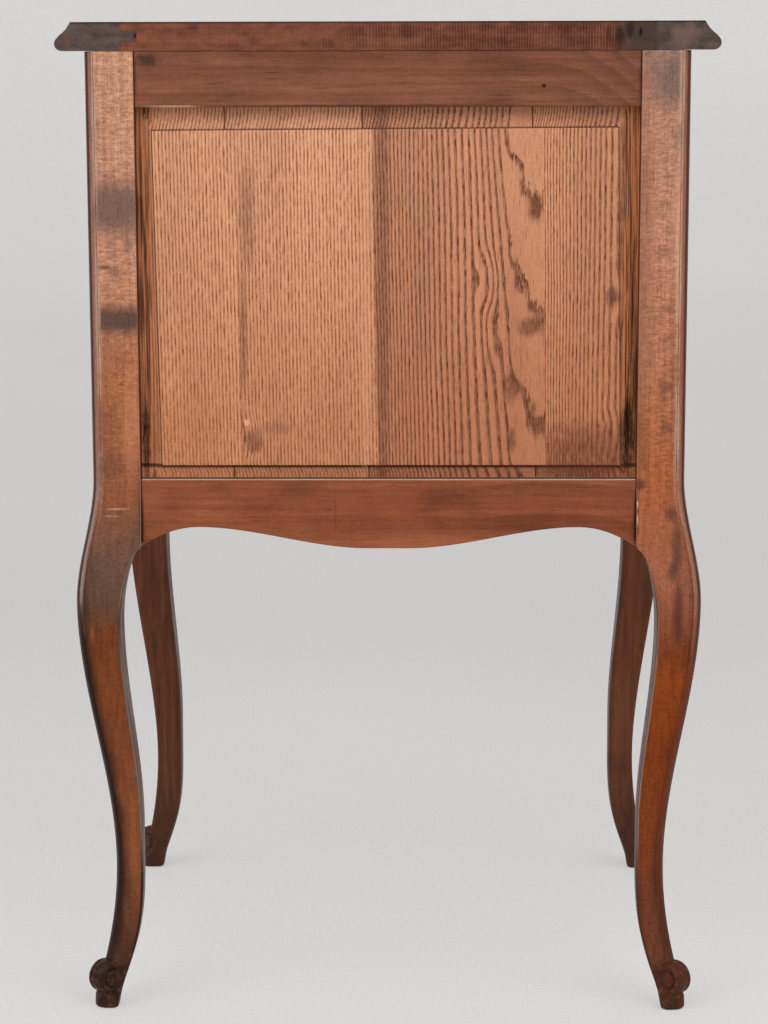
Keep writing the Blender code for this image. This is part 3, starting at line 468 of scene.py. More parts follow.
class Graph:
    """The nodes of one material, over the piece's own coordinates."""

    def __init__(self, name):
        self.material = bpy.data.materials.new(name)
        self.material.use_nodes = True
        self.tree = self.material.node_tree
        self.shader = self.tree.nodes["Principled BSDF"]
        source = self.tree.nodes.new("ShaderNodeTexCoord")
        self.place = source.outputs["Object"]
        self.x, self.y, self.z = self.node("SeparateXYZ", {0: self.place}).outputs
        self.facing = self.node("SeparateXYZ", {0: source.outputs["Normal"]}).outputs

    def node(self, kind, inputs, **settings):
        made = self.tree.nodes.new("ShaderNode" + kind)
        for key, value in settings.items():
            setattr(made, key, value)
        for key, value in inputs.items():
            self.put(made.inputs[key], value)
        return made

    def put(self, socket, value):
        if isinstance(value, bpy.types.NodeSocket):
            self.tree.links.new(value, socket)
        else:
            socket.default_value = value

    def math(self, operation, a, b=0.0, c=0.0):
        return self.node("Math", {0: a, 1: b, 2: c}, operation=operation).outputs[0]

    def add(self, first, *others):
        for other in others:
            first = self.math("ADD", first, other)
        return first

    def times(self, first, *others):
        for other in others:
            first = self.math("MULTIPLY", first, other)
        return first

    def ramp(self, value, low, high, start=0.0, end=1.0):
        """A value eased from start to end as another goes from low to high."""
        inputs = {0: value, 1: low, 2: high, 3: start, 4: end}
        return self.node("MapRange", inputs, interpolation_type="SMOOTHSTEP").outputs[0]

    def fall(self, value, low, high):
        """A value eased from 1 to 0 as another goes from low to high."""
        return self.ramp(value, low, high, 1.0, 0.0)

    def band(self, value, low, full, fade, high):
        """1 while a value lies between full and fade, eased to 0 at low and at high."""
        return self.times(self.ramp(value, low, full), self.fall(value, fade, high))

    def mixed(self, share, a, b):
        return self.node("Mix", {0: share, 6: a, 7: b}, data_type="RGBA").outputs[2]

    def over(self, tint, coat, *shares):
        """A colour under a coat of another, as thick as all its shares together."""
        return self.mixed(self.times(*shares), tint, coat)

    def shaded(self, tint, share):
        """A colour made darker or lighter."""
        return self.node("VectorMath", {0: tint, "Scale": share}, operation="SCALE").outputs[0]

    def tinted(self, tint, filter_tint):
        """A colour seen through another."""
        inputs = {0: 1.0, 6: tint, 7: filter_tint}
        return self.node("Mix", inputs, data_type="RGBA", blend_type="MULTIPLY").outputs[2]

    def by_height(self, height, stops):
        """A colour that follows a height through stops of (height, colour)."""
        low = stops[0][0]
        high = stops[-1][0]
        share = self.node("MapRange", {0: height, 1: low, 2: high}).outputs[0]
        made = self.node("ValToRGB", {0: share})
        band = made.color_ramp
        for _ in stops[2:]:
            band.elements.new(0.5)
        for element, (at, tint) in zip(band.elements, stops):
            element.position = (at - low) / (high - low)
            element.color = tint
        return made.outputs[0]

    def curve(self, value, low, high, follow):
        """A length that follows a known function of a value."""
        stops = []
        for at in spaced(low, high, CURVE_STEPS):
            level = 0.5 + follow(at) / CURVE_REACH
            stops.append((at, (level, level, level, 1.0)))
        share = self.node("SeparateColor", {0: self.by_height(value, stops)}).outputs[0]
        return self.times(self.add(share, -0.5), CURVE_REACH)

    def noise(self, scale, detail=2.0, roughness=0.5, shift=0.0):
        """Noise from 0 to 1, with a scale for each axis."""
        inputs = {0: self.place, 1: scale, 2: (shift, shift, shift)}
        spread = self.node("VectorMath", inputs, operation="MULTIPLY_ADD").outputs[0]
        inputs = {"Vector": spread, "Scale": 1.0, "Detail": detail, "Roughness": roughness}
        return self.node("TexNoise", inputs).outputs[0]

    def speckled(self, tint, amount):
        """A colour with fine grains in it, each lighter or darker."""
        speck = self.noise((760, 760, 760), 2.0, 0.7)
        return self.shaded(tint, self.ramp(speck, 0.25, 0.75, 1 - amount, 1 + amount))

    def spot(self, centre, radii, ragged):
        """1 in the middle of a ragged patch of the back, centred at (x, z), falling to 0 at its edge."""
        across = self.times(self.math("SUBTRACT", self.x, centre[0]), 1 / radii[0])
        up = self.times(self.math("SUBTRACT", self.z, centre[1]), 1 / radii[1])
        far = self.math("SQRT", self.add(self.times(across, across), self.times(up, up)))
        wobble = self.add(self.noise((210, 210, 120), 5.0, 0.65, centre[1]), -0.5)
        far = self.add(far, self.times(wobble, 2 * ragged))
        return self.fall(far, 0.25, 1.0)

    def patched(self, tint, marks_and_shadows, texture=1.0, ragged=0.5):
        """A colour with patches of (centre, radii, colour, share) on it, as strong as a texture."""
        for centre, radii, stain, share in marks_and_shadows:
            tint = self.over(tint, stain, self.spot(centre, radii, ragged), share, texture)
        return tint

    def finish(self, tint, rough, height, deep, shine=POLISHED_SHINE):
        self.put(self.shader.inputs["Base Color"], tint)
        self.put(self.shader.inputs["Roughness"], rough)
        self.shader.inputs["Specular IOR Level"].default_value = shine
        bump = self.node("Bump", {"Strength": RELIEF_STRENGTH, "Distance": deep, "Height": height})
        self.put(self.shader.inputs["Normal"], bump.outputs[0])
        return self.material


def along(axis, across, length):
    """A noise scale that is fine across the grain and long along it."""
    return tuple(length if name == axis else across for name in "XYZ")


def timber(graph, axis, shift=0.0):
    """A close-grained wood: how light its figure is, from 0 to 1, its pores, and its fine grain."""
    figure = graph.noise(along(axis, 30.0, 2.2), 3.0, 0.55, shift)
    grain = graph.noise(along(axis, 240.0, 6.0), 5.0, 0.6, shift)
    pores = graph.ramp(graph.noise(along(axis, 1500.0, 55.0), 2.0, 0.5, shift), 0.56, 0.72)
    share = graph.add(graph.times(figure, 0.75), graph.times(grain, 0.65))
    return graph.ramp(share, 0.45, 0.95), pores, grain


def walnut(graph, axis, shift=0.0):
    """Polished walnut: its colour, its pores and its fine grain."""
    share, pores, grain = timber(graph, axis, shift)
    tint = graph.mixed(share, WALNUT_DARK, WALNUT_LIGHT)
    return graph.over(tint, PORE, pores, 0.45), pores, grain


def varnished(name, axis, shift):
    """Walnut under a thin old varnish, darker in clouds and low down."""
    graph = Graph(name)
    tint, pores, grain = walnut(graph, axis, shift)
    clouds = graph.noise((16, 16, 16), 4.0, 0.6, shift)
    tint = graph.over(tint, DARK_VARNISH_AND_SHADE, graph.ramp(clouds, 0.50, 0.75, 0.0, 0.55))
    tint = graph.over(tint, DARK_VARNISH_AND_SHADE, graph.ramp(graph.z, *DARKER_BELOW, 0.55, 0.0))
    tint = graph.speckled(tint, 0.12)
    rough = graph.ramp(clouds, 0.3, 0.7, 0.32, 0.46)
    bumps = graph.add(graph.times(pores, -0.5), graph.times(grain, 0.4))
    return graph.finish(tint, rough, bumps, FINE_RELIEF, VARNISH_SHINE)


class LegGraph(Graph):
    """A back leg's nodes, with what its faces share. Its bare wood ends at a ragged boundary."""

    def __init__(self, name, boundary):
        super().__init__(name)
        self.share, self.pores, self.grain = timber(self, "Z")
        self.smudge = self.noise((40, 40, 22), 5.0, 0.65, 3.0)
        self.flecks = self.noise((190, 190, 620), 4.0, 0.7)
        self.height = self.add(self.z, self.times(self.add(self.smudge, -0.5), BOUNDARY_WANDER))
        self.above = self.add(self.height, -boundary)
        self.bare = self.ramp(self.above, *BARE_FROM)
        self.turn = self.math("ABSOLUTE", self.facing[0])


def leg_edges(graph):
    """How dark a leg's outer and inner edges are, with dark varnish and painted shade; how much wear and
    painted highlight the post's arris gets; and how much painted reflection the leg's inner arris gets.
    """
    reach = graph.math("ABSOLUTE", graph.x)
    outer = graph.add(graph.curve(graph.z, 0.0, APRON_TOP, leg_outer), BODY_WIDTH / 2)
    inner = graph.add(graph.curve(graph.z, 0.0, APRON_TOP, leg_inner), BODY_WIDTH / 2)
    gap = graph.math("SUBTRACT", outer, reach)
    depth = graph.math("SUBTRACT", reach, inner)
    wander = graph.times(graph.add(graph.smudge, -0.5), EDGE_WANDER)
    low = graph.fall(graph.z, *EDGES_DARK_BELOW)
    outside = graph.times(graph.fall(graph.add(gap, wander), *OUTER_EDGE_DARK), low)
    inside = graph.times(graph.fall(graph.add(depth, wander), *INNER_EDGE_DARK), low)
    post = graph.times(graph.fall(gap, *POST_RUBBED_HIGHLIGHT), graph.ramp(graph.z, *POST_RUBBED_HIGHLIGHT_ABOVE))
    leg = graph.times(graph.band(graph.z, *LEG_ARRIS_HIGHLIGHT_BETWEEN), graph.band(depth, *LEG_ARRIS_HIGHLIGHT))
    return outside, inside, post, leg


def leg_face(graph, heights, marks_and_shadows, dark):
    """The back face's colour, and how strong the painted reflection on the leg's inner arris is."""
    streaks = graph.noise((330, 330, 10), 4.0, 0.6)
    rubbing = graph.times(graph.add(graph.flecks, -0.5), graph.ramp(graph.z, *FACE_FLECKED, 0.85, 1.85))
    light = graph.add(0.43, graph.times(graph.share, 0.34), rubbing, graph.times(streaks, 0.80))
    tint = graph.shaded(graph.by_height(graph.height, heights), light)
    tint = graph.over(tint, SMUDGE, graph.ramp(graph.smudge, 0.56, 0.76, 0.0, 0.45), graph.bare)
    outside, inside, post_arris, leg_arris = leg_edges(graph)
    # Dark varnish with painted shade on the outer and inner edges, below the knee
    for edge, amount in zip((outside, inside), dark):
        tint = graph.over(tint, DARK_VARNISH_AND_SHADE, edge, amount)
    tint = graph.patched(tint, marks_and_shadows, ragged=0.22)
    # Wear with a painted highlight on the post's arris
    rubbed_highlight = graph.ramp(graph.smudge, 0.34, 0.56, 0.15, 0.75)
    return graph.over(tint, RUBBED_AND_HIGHLIGHT, post_arris, rubbed_highlight), leg_arris


def leg_side(graph, bead):
    """The colour of the beaded corner, with a painted sheen at the knee and painted shade where its bare
    part turns away, and of the sides beyond it.
    """
    low, high, sheen = bead
    tint = graph.mixed(graph.ramp(graph.above, *BEAD_FADES), low, high)
    knee = graph.ramp(graph.height, *KNEE_SHINE_FROM)
    knee = graph.times(knee, graph.ramp(graph.height, *KNEE_SHINE_TO, 1.0, 0.25))
    # A painted sheen along the bead at the knee
    tint = graph.over(tint, SHEEN, graph.band(graph.turn, 0.30, 0.42, 0.62, 0.74), knee, sheen)
    # Painted shade on the bare bead where it turns away
    tint = graph.over(tint, BEAD_PAINTED_SHADE, graph.ramp(graph.turn, 0.48, 0.78, 0.0, 0.9), graph.bare)
    behind = graph.fall(graph.facing[1], -0.6, -0.3)
    unseen = graph.math("MAXIMUM", graph.ramp(graph.turn, 0.70, 0.90), behind)
    tint = graph.mixed(unseen, tint, graph.mixed(graph.share, *LEG_SIDE))
    return graph.over(tint, DARK_VARNISH_AND_SHADE, graph.ramp(graph.z, *SIDE_DARK_BELOW, 0.60, 0.0))


def leg_finish(name, boundary, heights, marks_and_shadows, bead, dark):
    """A back leg: bare, dusty wood on the post's back face, old varnish elsewhere and below a ragged line.

    bead holds the colours of its outermost corner, low and high, and how much painted sheen its knee has
    there.
    dark holds how much dark varnish and painted shade its outer and inner edges get.
    """
    graph = LegGraph(name, boundary)
    face, arris = leg_face(graph, heights, marks_and_shadows, dark)
    flat = graph.times(graph.fall(graph.turn, 0.14, 0.26), graph.ramp(graph.facing[1], 0.3, 0.6))
    tint = graph.mixed(flat, leg_side(graph, bead), face)
    # Wear with a painted highlight along the bead's edge, above the knee
    outward = graph.ramp(graph.times(graph.x, graph.facing[0]), 0.0, 0.02)
    rubbed_highlight = graph.times(graph.band(graph.turn, 0.14, 0.22, 0.26, 0.40), outward)
    worn_highlight = graph.ramp(graph.smudge, 0.40, 0.65, 0.0, 0.5)
    tint = graph.over(tint, RUBBED_AND_HIGHLIGHT, rubbed_highlight, graph.ramp(graph.z, *CORNER_WORN_HIGHLIGHT_ABOVE), worn_highlight)
    # A painted reflection along the leg's inner arris
    tint = graph.over(tint, ARRIS_HIGHLIGHT, arris, graph.ramp(graph.facing[1], 0.2, 0.5, 0.0, 0.4))
    scuffs = graph.ramp(graph.noise((210, 210, 210), 5.0, 0.65), 0.46, 0.70, 0.0, 0.5)
    tint = graph.over(tint, FOOT_WORN, scuffs, graph.fall(graph.z, *FOOT_SCUFFED_BELOW))
    tint = graph.speckled(graph.over(tint, PORE, graph.pores, 0.35), 0.16)
    dull = graph.add(graph.times(flat, graph.bare, 0.30), graph.ramp(graph.turn, 0.75, 0.95, 0.0, 0.06))
    rough = graph.add(dull, graph.ramp(graph.smudge, 0.35, 0.7, 0.26, 0.42))
    bumps = graph.add(graph.times(graph.pores, -0.5), graph.times(graph.grain, 0.4))
    bumps = graph.add(bumps, graph.times(graph.flecks, 0.2))
    return graph.finish(tint, rough, bumps, FINE_RELIEF, BARE_SHINE)


def rail_finish(name, tones, arch, marks_and_shadows, dust_and_highlight=0.0):
    """A rail coloured with a stain, with faint lines which arch beside a place, and if any, a dusty upper
    edge with a painted highlight and dirt with painted shade on its top.

    arch holds that place (x, z), the lines for each metre, and how strongly they bend.
    """
    graph = Graph(name)
    share, pores, grain = timber(graph, "X")
    tint = graph.mixed(share, *tones)
    (middle_x, middle_z), pitch, bend = arch
    drift = graph.times(graph.add(graph.noise((5, 5, 16), 2.0), -0.5), RAIL_WANDER)
    beside = graph.add(graph.x, -middle_x)
    run = graph.math("MINIMUM", beside, 0.0)
    up = graph.add(graph.z, drift, -middle_z, graph.times(graph.x, RAIL_SLANT))
    line = graph.math("FRACT", graph.add(graph.times(up, pitch), graph.times(run, run, bend)))
    late = graph.band(line, 0.0, 0.85, 0.93, 1.0)
    strong = graph.ramp(beside, *RAIL_LINES_FADE, -0.24, -0.10)
    tint = graph.shaded(tint, graph.add(1.06, graph.times(late, strong)))
    tint = graph.over(tint, PORE, pores, 0.35)
    clouds = graph.noise((22, 22, 30), 5.0, 0.6)
    tint = graph.shaded(tint, graph.ramp(clouds, 0.35, 0.75, 1.10, 0.74))
    if dust_and_highlight:
        # A dusty film with a painted highlight on the upper edge, and dirt with painted shade on the flat
        # top
        level = graph.facing[2]
        thick = graph.ramp(clouds, 0.30, 0.55, 0.5, dust_and_highlight)
        tint = graph.over(tint, DUST_AND_HIGHLIGHT, graph.ramp(level, 0.20, 0.45), thick)
        tint = graph.over(tint, DIRT_AND_SHADE, graph.ramp(level, 0.85, 0.98, 0.0, 0.8))
    tint = graph.speckled(graph.patched(tint, marks_and_shadows), 0.10)
    rough = graph.ramp(clouds, 0.3, 0.7, 0.46, 0.62)
    bumps = graph.add(graph.times(pores, -0.6), graph.times(grain, 0.4), graph.times(late, -0.1))
    return graph.finish(tint, rough, bumps, FINE_RELIEF, RAIL_SHINE)


def board_edges(graph, tint, deep, tone, shift):
    """A board's colour with dirt and painted shade in its side margins, painted light on its lowest margin,
    and dark, painted shadow lines round its field.
    """
    reach = graph.math("ABSOLUTE", graph.x)
    # Dirt with painted shade, thickest deep in the side margins beside the frame
    beside = graph.ramp(reach, INNER_X - DIRT_AND_SHADE_WIDTH, INNER_X - DIRT_AND_SHADE_FULL_WIDTH, 0.05, 1.0)
    streaks = graph.ramp(graph.noise((620, 620, 14), 3.0, 0.6, shift), 0.40, 0.56)
    thick = graph.times(graph.ramp(tone, 0.3, 0.7, 0.55, 0.95), beside)
    tint = graph.over(tint, graph.mixed(streaks, DIRT_AND_SHADE, DIRT_AND_SHADE_PALE), graph.ramp(deep, *DIRT_AND_SHADE_DEPTH), thick)
    up = graph.add(graph.z, -APRON_TOP - BACK_MARGINS[2])
    # Painted light on the lowest margin, which faces down
    tint = graph.shaded(tint, graph.ramp(up, *LOW_MARGIN_PAINTED_LIGHT, 1.35, 1.0))
    # Painted shadow under the field's lower edge, with some dirt, and painted shadow at its shoulder
    shade = graph.ramp(deep, *FIELD_SHADE_DEPTH, 0.0, 0.9)
    tint = graph.over(tint, DARK_VARNISH_AND_SHADE, graph.band(up, *FIELD_SHADE), shade)
    return graph.over(tint, DARK_VARNISH_AND_SHADE, graph.band(deep, *FIELD_FOOT_SHADE), 0.75)


def board_years(graph, deep, count_lines, wander, swells, shift):
    """Where each place lies in its year's growth, 0 to 1, noise along the year, and its line's width."""
    drift = graph.times(graph.add(graph.noise((10, 10, 3.0), 2.0, 0.5, shift), -0.5), wander)
    fine = graph.times(graph.add(graph.noise((110, 110, 30), 3.0, 0.6, shift), -0.5), FINE_WANDER)
    lean = graph.times(graph.add(graph.z, -PANEL_MIDDLE), -GRAIN_LEAN)
    across = graph.add(graph.x, lean, drift, fine, graph.times(deep, GRAIN_SLANT))
    count, width = count_lines(graph, across)
    for centre, radii, amount in swells:
        count = graph.add(count, graph.times(graph.spot(centre, radii, 0.15), amount))
    year = graph.times(graph.math("FLOOR", count), YEAR_STEP)
    place = graph.node("CombineXYZ", {0: year, 1: graph.times(graph.z, DASHES), 2: shift}).outputs[0]
    along_year = graph.node("TexNoise", {"Vector": place, "Detail": 2.0, "Scale": 1.0}).outputs[0]
    return graph.math("FRACT", count), along_year, width


def board_finish(name, light, dark, count_lines, wander, whole, swells, marks_and_shadows, shift):
    """A board of open-grained wood: each year leaves a dark line, more or less whole, made of dashes."""
    graph = Graph(name)
    deep = graph.math("SUBTRACT", BACK_Y - FIELD_INSET, graph.y)
    line, along_year, width = board_years(graph, deep, count_lines, wander, swells, shift)
    broken = graph.ramp(along_year, 0.30, 0.62, whole, 1.0)
    fading = graph.fall(line, graph.times(width, 0.26), graph.times(width, 0.62))
    early = graph.times(graph.ramp(line, 0.0, graph.times(width, 0.10)), fading)
    dashes = graph.ramp(graph.noise((1700, 1700, 130), 2.0, 0.6, shift), 0.40, 0.60)
    pores = graph.ramp(graph.noise((1500, 1500, 90), 2.0, 0.5, shift), 0.52, 0.70)
    marks = graph.times(early, broken, graph.add(graph.times(dashes, 0.55), 0.45))
    tone = graph.noise((20, 20, 3.0), 4.0, 0.6, shift)
    tint = graph.shaded(light[:3], graph.ramp(tone, 0.30, 0.75, 1.05, 0.84))
    # Darker and warmer low down, lighter high up
    warmer_low = graph.mixed(graph.ramp(graph.z, APRON_TOP, RAIL_BOTTOM), BOARD_LOW, BOARD_HIGH)
    tint = graph.tinted(tint, warmer_low)
    tint = graph.over(graph.mixed(marks, tint, dark), dark, pores, 0.34)
    tint = board_edges(graph, tint, deep, tone, shift)
    tint = graph.patched(tint, marks_and_shadows, graph.add(graph.times(dashes, 0.45), 0.55))
    tint = graph.speckled(tint, 0.10)
    rough = graph.ramp(tone, 0.3, 0.7, 0.52, 0.66)
    bumps = graph.add(graph.times(marks, -0.7), graph.times(pores, -0.3))
    return graph.finish(tint, rough, bumps, OPEN_RELIEF, BARE_SHINE)


def even_lines(graph, x):
    """Straight lines at one pitch. As for the others: their count so far, and how wide the dark ones are."""
    return graph.add(graph.times(x, EVEN_LINES), graph.times(graph.z, EVEN_RISE)), 1.0


def spreading_lines(graph, x):
    """Lines that spread out towards one edge."""
    run = graph.add(x, -SPREAD_CENTRE)
    return graph.add(graph.times(run, run, SPREAD_LINES), graph.times(graph.z, SPREAD_RISE)), 1.0


def flame_lines(graph, x):
    """Flames that point down at a centre, with wide lines beside them, which draw together beyond."""
    ragged = graph.add(graph.noise((75, 75, 45), 4.0, 0.6), graph.noise((340, 340, 60), 3.0, 0.6), -1.0)
    core = graph.fall(x, *FLAME_CORE_EDGE)
    run = graph.add(x, -FLAME_CENTRE)
    torn = graph.add(run, graph.times(ragged, core, FLAME_JAG))
    tip = graph.math("SQRT", graph.add(graph.times(torn, torn), FLAME_TIP * FLAME_TIP))
    beside = graph.math("MAXIMUM", graph.add(run, -FLAME_CORE), 0.0)
    beyond = graph.math("MAXIMUM", graph.add(run, -FLAME_REACH), 0.0)
    count = graph.add(graph.times(tip, FLAME_CORE_LINES), FLAME_PHASE)
    count = graph.add(count, graph.times(beside, FLAME_LINES), graph.times(beyond, beyond, FLAME_FINE_LINES))
    rise = graph.ramp(run, *FLAME_RISE_FADES, -FLAME_RISE, -FLAME_RISE / 6)
    count = graph.add(count, graph.times(graph.add(graph.z, -PANEL_MIDDLE), rise))
    return count, graph.ramp(core, 0.0, 1.0, 1.0, 0.5)


def sawn_edge(graph, tones, pitch):
    """A sawn back edge's colour and relief, with upright saw marks at a pitch if there are any."""
    streak = graph.noise((9, 9, 160), 4.0, 0.6)
    blotch = graph.noise((70, 70, 110), 5.0, 0.65)
    share = graph.add(graph.times(streak, 0.35), graph.times(blotch, 0.65))
    if pitch:
        wander = graph.times(graph.noise((30, 30, 12), 3.0, 0.6), 2.5)
        mark = graph.math("FRACT", graph.add(graph.times(graph.x, 1 / pitch), wander))
        strong = graph.ramp(graph.x, *SAW_MARKS_FADE, -0.15, -0.05)
        share = graph.add(share, graph.times(graph.band(mark, 0.0, 0.3, 0.5, 0.9), strong))
    return graph.speckled(graph.mixed(graph.ramp(share, 0.22, 0.68), *tones), 0.14), share


def top_finish(name, axis, tones, pitch, marks_and_shadows):
    """A piece of the top: polished, with a sawn back edge."""
    graph = Graph(name)
    tint, pores, grain = walnut(graph, axis)
    sawn, marks = sawn_edge(graph, tones, pitch)
    sawn = graph.patched(sawn, marks_and_shadows)
    down = graph.add(graph.z, -TOP_HIGH)
    sawn = graph.over(sawn, DARK_VARNISH_AND_SHADE, graph.ramp(down, *TOP_RIM, 0.0, 0.8))
    back = graph.ramp(graph.facing[1], 0.90, 0.98)
    tint = graph.mixed(back, tint, sawn)
    rough = graph.add(graph.times(back, 0.32), graph.ramp(grain, 0.3, 0.7, 0.28, 0.40))
    bumps = graph.add(graph.times(pores, -0.4), graph.times(marks, back))
    return graph.finish(tint, rough, bumps, FINE_RELIEF)


def poplar_finish(name, axis):
    """Plain poplar, planed and never polished."""
    graph = Graph(name)
    share, pores, grain = timber(graph, axis)
    tint = graph.over(graph.mixed(share, *POPLAR), POPLAR_PORE, pores, 0.3)
    clouds = graph.noise((14, 14, 14), 4.0, 0.6)
    tint = graph.over(tint, POPLAR_CLOUD, graph.ramp(clouds, 0.5, 0.75, 0.0, 0.4))
    rough = graph.ramp(grain, 0.3, 0.7, 0.58, 0.72)
    bumps = graph.add(graph.times(pores, -0.5), graph.times(grain, 0.5))
    return graph.finish(tint, rough, bumps, FINE_RELIEF)


def brass_finish(name):
    """Old brass: bright where hands rub it, browner in soft clouds and specks."""
    graph = Graph(name)
    tarnish = graph.noise((45, 45, 45), 6.0, 0.6)
    speck = graph.noise((1100, 1100, 1100), 3.0, 0.6)
    tint = graph.mixed(graph.ramp(tarnish, 0.30, 0.75), *BRASS)
    tint = graph.over(tint, BRASS_SPECK, graph.ramp(speck, 0.60, 0.78, 0.0, 0.40))
    graph.shader.inputs["Metallic"].default_value = 1.0
    rough = graph.ramp(tarnish, 0.35, 0.70, 0.26, 0.44)
    return graph.finish(tint, rough, graph.add(speck, tarnish), BRASS_RELIEF, BRASS_SHINE)


def floor_finish(name):
    """Pale cloth. What the camera and mirrors see is partly its plain colour, so its shadows stay faint."""
    graph = Graph(name)
    cloth = graph.noise((420, 420, 420), 3.0, 0.6)
    tone = graph.noise((1.3, 1.3, 1.3), 2.0, 0.5)
    share = graph.add(graph.times(cloth, 0.85), graph.times(tone, 0.15))
    tint = graph.mixed(graph.ramp(share, 0.3, 0.7), FLOOR_DARK, FLOOR_LIGHT)
    # Painted light: lighter towards the camera and higher up the backdrop
    tint = graph.shaded(tint, graph.ramp(graph.y, *FLOOR_FADES, 0.90, 1.09))
    tint = graph.shaded(tint, graph.ramp(graph.z, *BACKDROP_FADES, 1.0, 1.10))
    made = graph.finish(tint, graph.ramp(cloth, 0.3, 0.7, 0.82, 0.92), cloth, OPEN_RELIEF)
    glow = graph.node("Emission", {"Color": tint, "Strength": FLOOR_GLOW})
    path = graph.tree.nodes.new("ShaderNodeLightPath").outputs
    rays = ("Is Camera Ray", "Is Glossy Ray", "Is Transmission Ray")
    seen = graph.math("MINIMUM", graph.add(*[path[ray] for ray in rays]), 1.0)
    both = graph.node("MixShader", {0: graph.times(seen, FLOOR_PLAIN), 1: graph.shader.outputs[0]})
    graph.put(both.inputs[2], glow.outputs[0])
    graph.put(graph.tree.nodes["Material Output"].inputs["Surface"], both.outputs[0])
    return made


# Legs


def leg_outer(z):
    """How far the leg's outer faces stand out from the post's outer faces at a height."""
    if z >= KNEE_HEIGHT:
        return KNEE_REACH * eased((APRON_TOP - z) / (APRON_TOP - KNEE_HEIGHT))
    if z >= ANKLE_HEIGHT:
        share = eased((KNEE_HEIGHT - z) / (KNEE_HEIGHT - ANKLE_HEIGHT))
        return KNEE_REACH - (KNEE_REACH + ANKLE_SET_IN) * share
    sweep = FOOT_SWEEP * ((ANKLE_HEIGHT - z) / ANKLE_HEIGHT) ** 2
    return min(sweep - ANKLE_SET_IN, FOOT_REACH)


def leg_inner(z):
    """Where the leg's inner faces lie at a height, also from the post's outer faces."""
    hollow = KNEE_HOLLOW - POST
    if z >= BRACKET_TOP:
        return -POST
    if z >= KNEE_HOLLOW_HEIGHT:
        share = (z - KNEE_HOLLOW_HEIGHT) / (BRACKET_TOP - KNEE_HOLLOW_HEIGHT)
        return KNEE_HOLLOW * (1 - share * share) ** KNEE_HOLLOW_POWER - POST
    if z >= ANKLE_INNER_HEIGHT:
        share = (KNEE_HOLLOW_HEIGHT - z) / (KNEE_HOLLOW_HEIGHT - ANKLE_INNER_HEIGHT)
        return hollow - (hollow + ANKLE_INNER_SET_IN) * eased(share)
    share = eased(((ANKLE_INNER_HEIGHT - z) / ANKLE_INNER_HEIGHT) ** FOOT_DELAY)
    return (ANKLE_INNER_SET_IN - FOOT_INNER_SET_IN) * share - ANKLE_INNER_SET_IN


def corner(p, q, radius, quarter, steps):
    """A rounded corner of a leg's section, turned by quarters from the outermost one."""
    inwards_p = -1 if quarter in (0, 3) else 1
    inwards_q = -1 if quarter in (0, 1) else 1
    points = []
    for i in range(steps + 1):
        turn = math.pi / 2 * (quarter + i / steps)
        across = p + radius * (inwards_p + math.cos(turn))
        points.append((across, q + radius * (inwards_q + math.sin(turn))))
    return points


def leg_ring(z):
    """The leg's section: the outermost corner is a bead with a small quirk on each side of it."""
    rounding = max(FOOT_ROUND - z, 0.0)
    tuck = FOOT_ROUND - math.sqrt(FOOT_ROUND * FOOT_ROUND - rounding * rounding)
    outer = leg_outer(z) - tuck
    inner = leg_inner(z) + tuck
    share = eased((BRACKET_TOP - z) / (BRACKET_TOP - KNEE_HOLLOW_HEIGHT))
    arris = POST_ARRIS + (LEG_ARRIS - POST_ARRIS) * share
    deep = POST_ARRIS + (LEG_INNER_ARRIS - POST_ARRIS) * share
    if z <= FOOT_PAD_HEIGHT:
        arris = deep = FOOT_PAD_ARRIS
    bead = outer - SPINE_QUIRK
    edge = outer - SPINE_RADIUS - SPINE_QUIRK_WIDTH
    ring = [(outer, edge), *corner(bead, bead, SPINE_RADIUS - SPINE_QUIRK, 0, SPINE_STEPS), (edge, outer)]
    ring += corner(inner, outer, arris, 1, CORNER_STEPS)
    ring += corner(inner, inner, deep, 2, CORNER_STEPS)
    ring += corner(outer, inner, arris, 3, CORNER_STEPS)
    return [(p, q, z) for p, q in ring]


def leg_point(p, q, z, side, end):
    return (side * (BODY_WIDTH / 2 + p), MIDDLE_Y + end * (BODY_DEPTH / 2 + q), z)


def scroll_axis(side, end):
    centre = leg_point(-SCROLL_SET_IN, -SCROLL_SET_IN, SCROLL_HEIGHT, side, end)
    return centre, Vector((side, -end, 0)).normalized()


def leg_scroll(side, end):
    """The rolled toe: a ridged rim, and in each end a round eye in a groove."""
    half = SCROLL_WIDTH / 2
    first = [(inwards - half, radius) for inwards, radius in SCROLL_PROFILE]
    profile = [*first, *[(-distance, radius) for distance, radius in reversed(first)]]
    return lathe(profile, *scroll_axis(side, end), (0, 0, 1))


def scroll_hollows(side, end):
    """What the carver takes off the leg on each side of the roll."""
    centre, way = scroll_axis(side, end)
    hollow = [(SCROLL_WIDTH / 2 + past, radius) for past, radius in SCROLL_HOLLOW]
    return [lathe(hollow, centre, turned_way, (0, 0, 1)) for turned_way in (way, -way)]


def leg(side, end):
    heights = [TOP_LOW - FIT, *spaced(APRON_TOP, FOOT_PAD_HEIGHT + FIT, LEG_STEPS)]
    heights += [FOOT_PAD_HEIGHT, *spaced(FOOT_ROUND, 0.0, CORNER_STEPS)]
    rings = [[leg_point(*point, side, end) for point in leg_ring(z)] for z in heights]
    stem = boolean(loft(rings), scroll_hollows(side, end), "DIFFERENCE")
    return boolean(stem, [leg_scroll(side, end)], "UNION")


# Case


def bow(x):
    """How far the front swells forward of the posts."""
    return BOW * eased((INNER_X - abs(x)) / BOW_RUN)


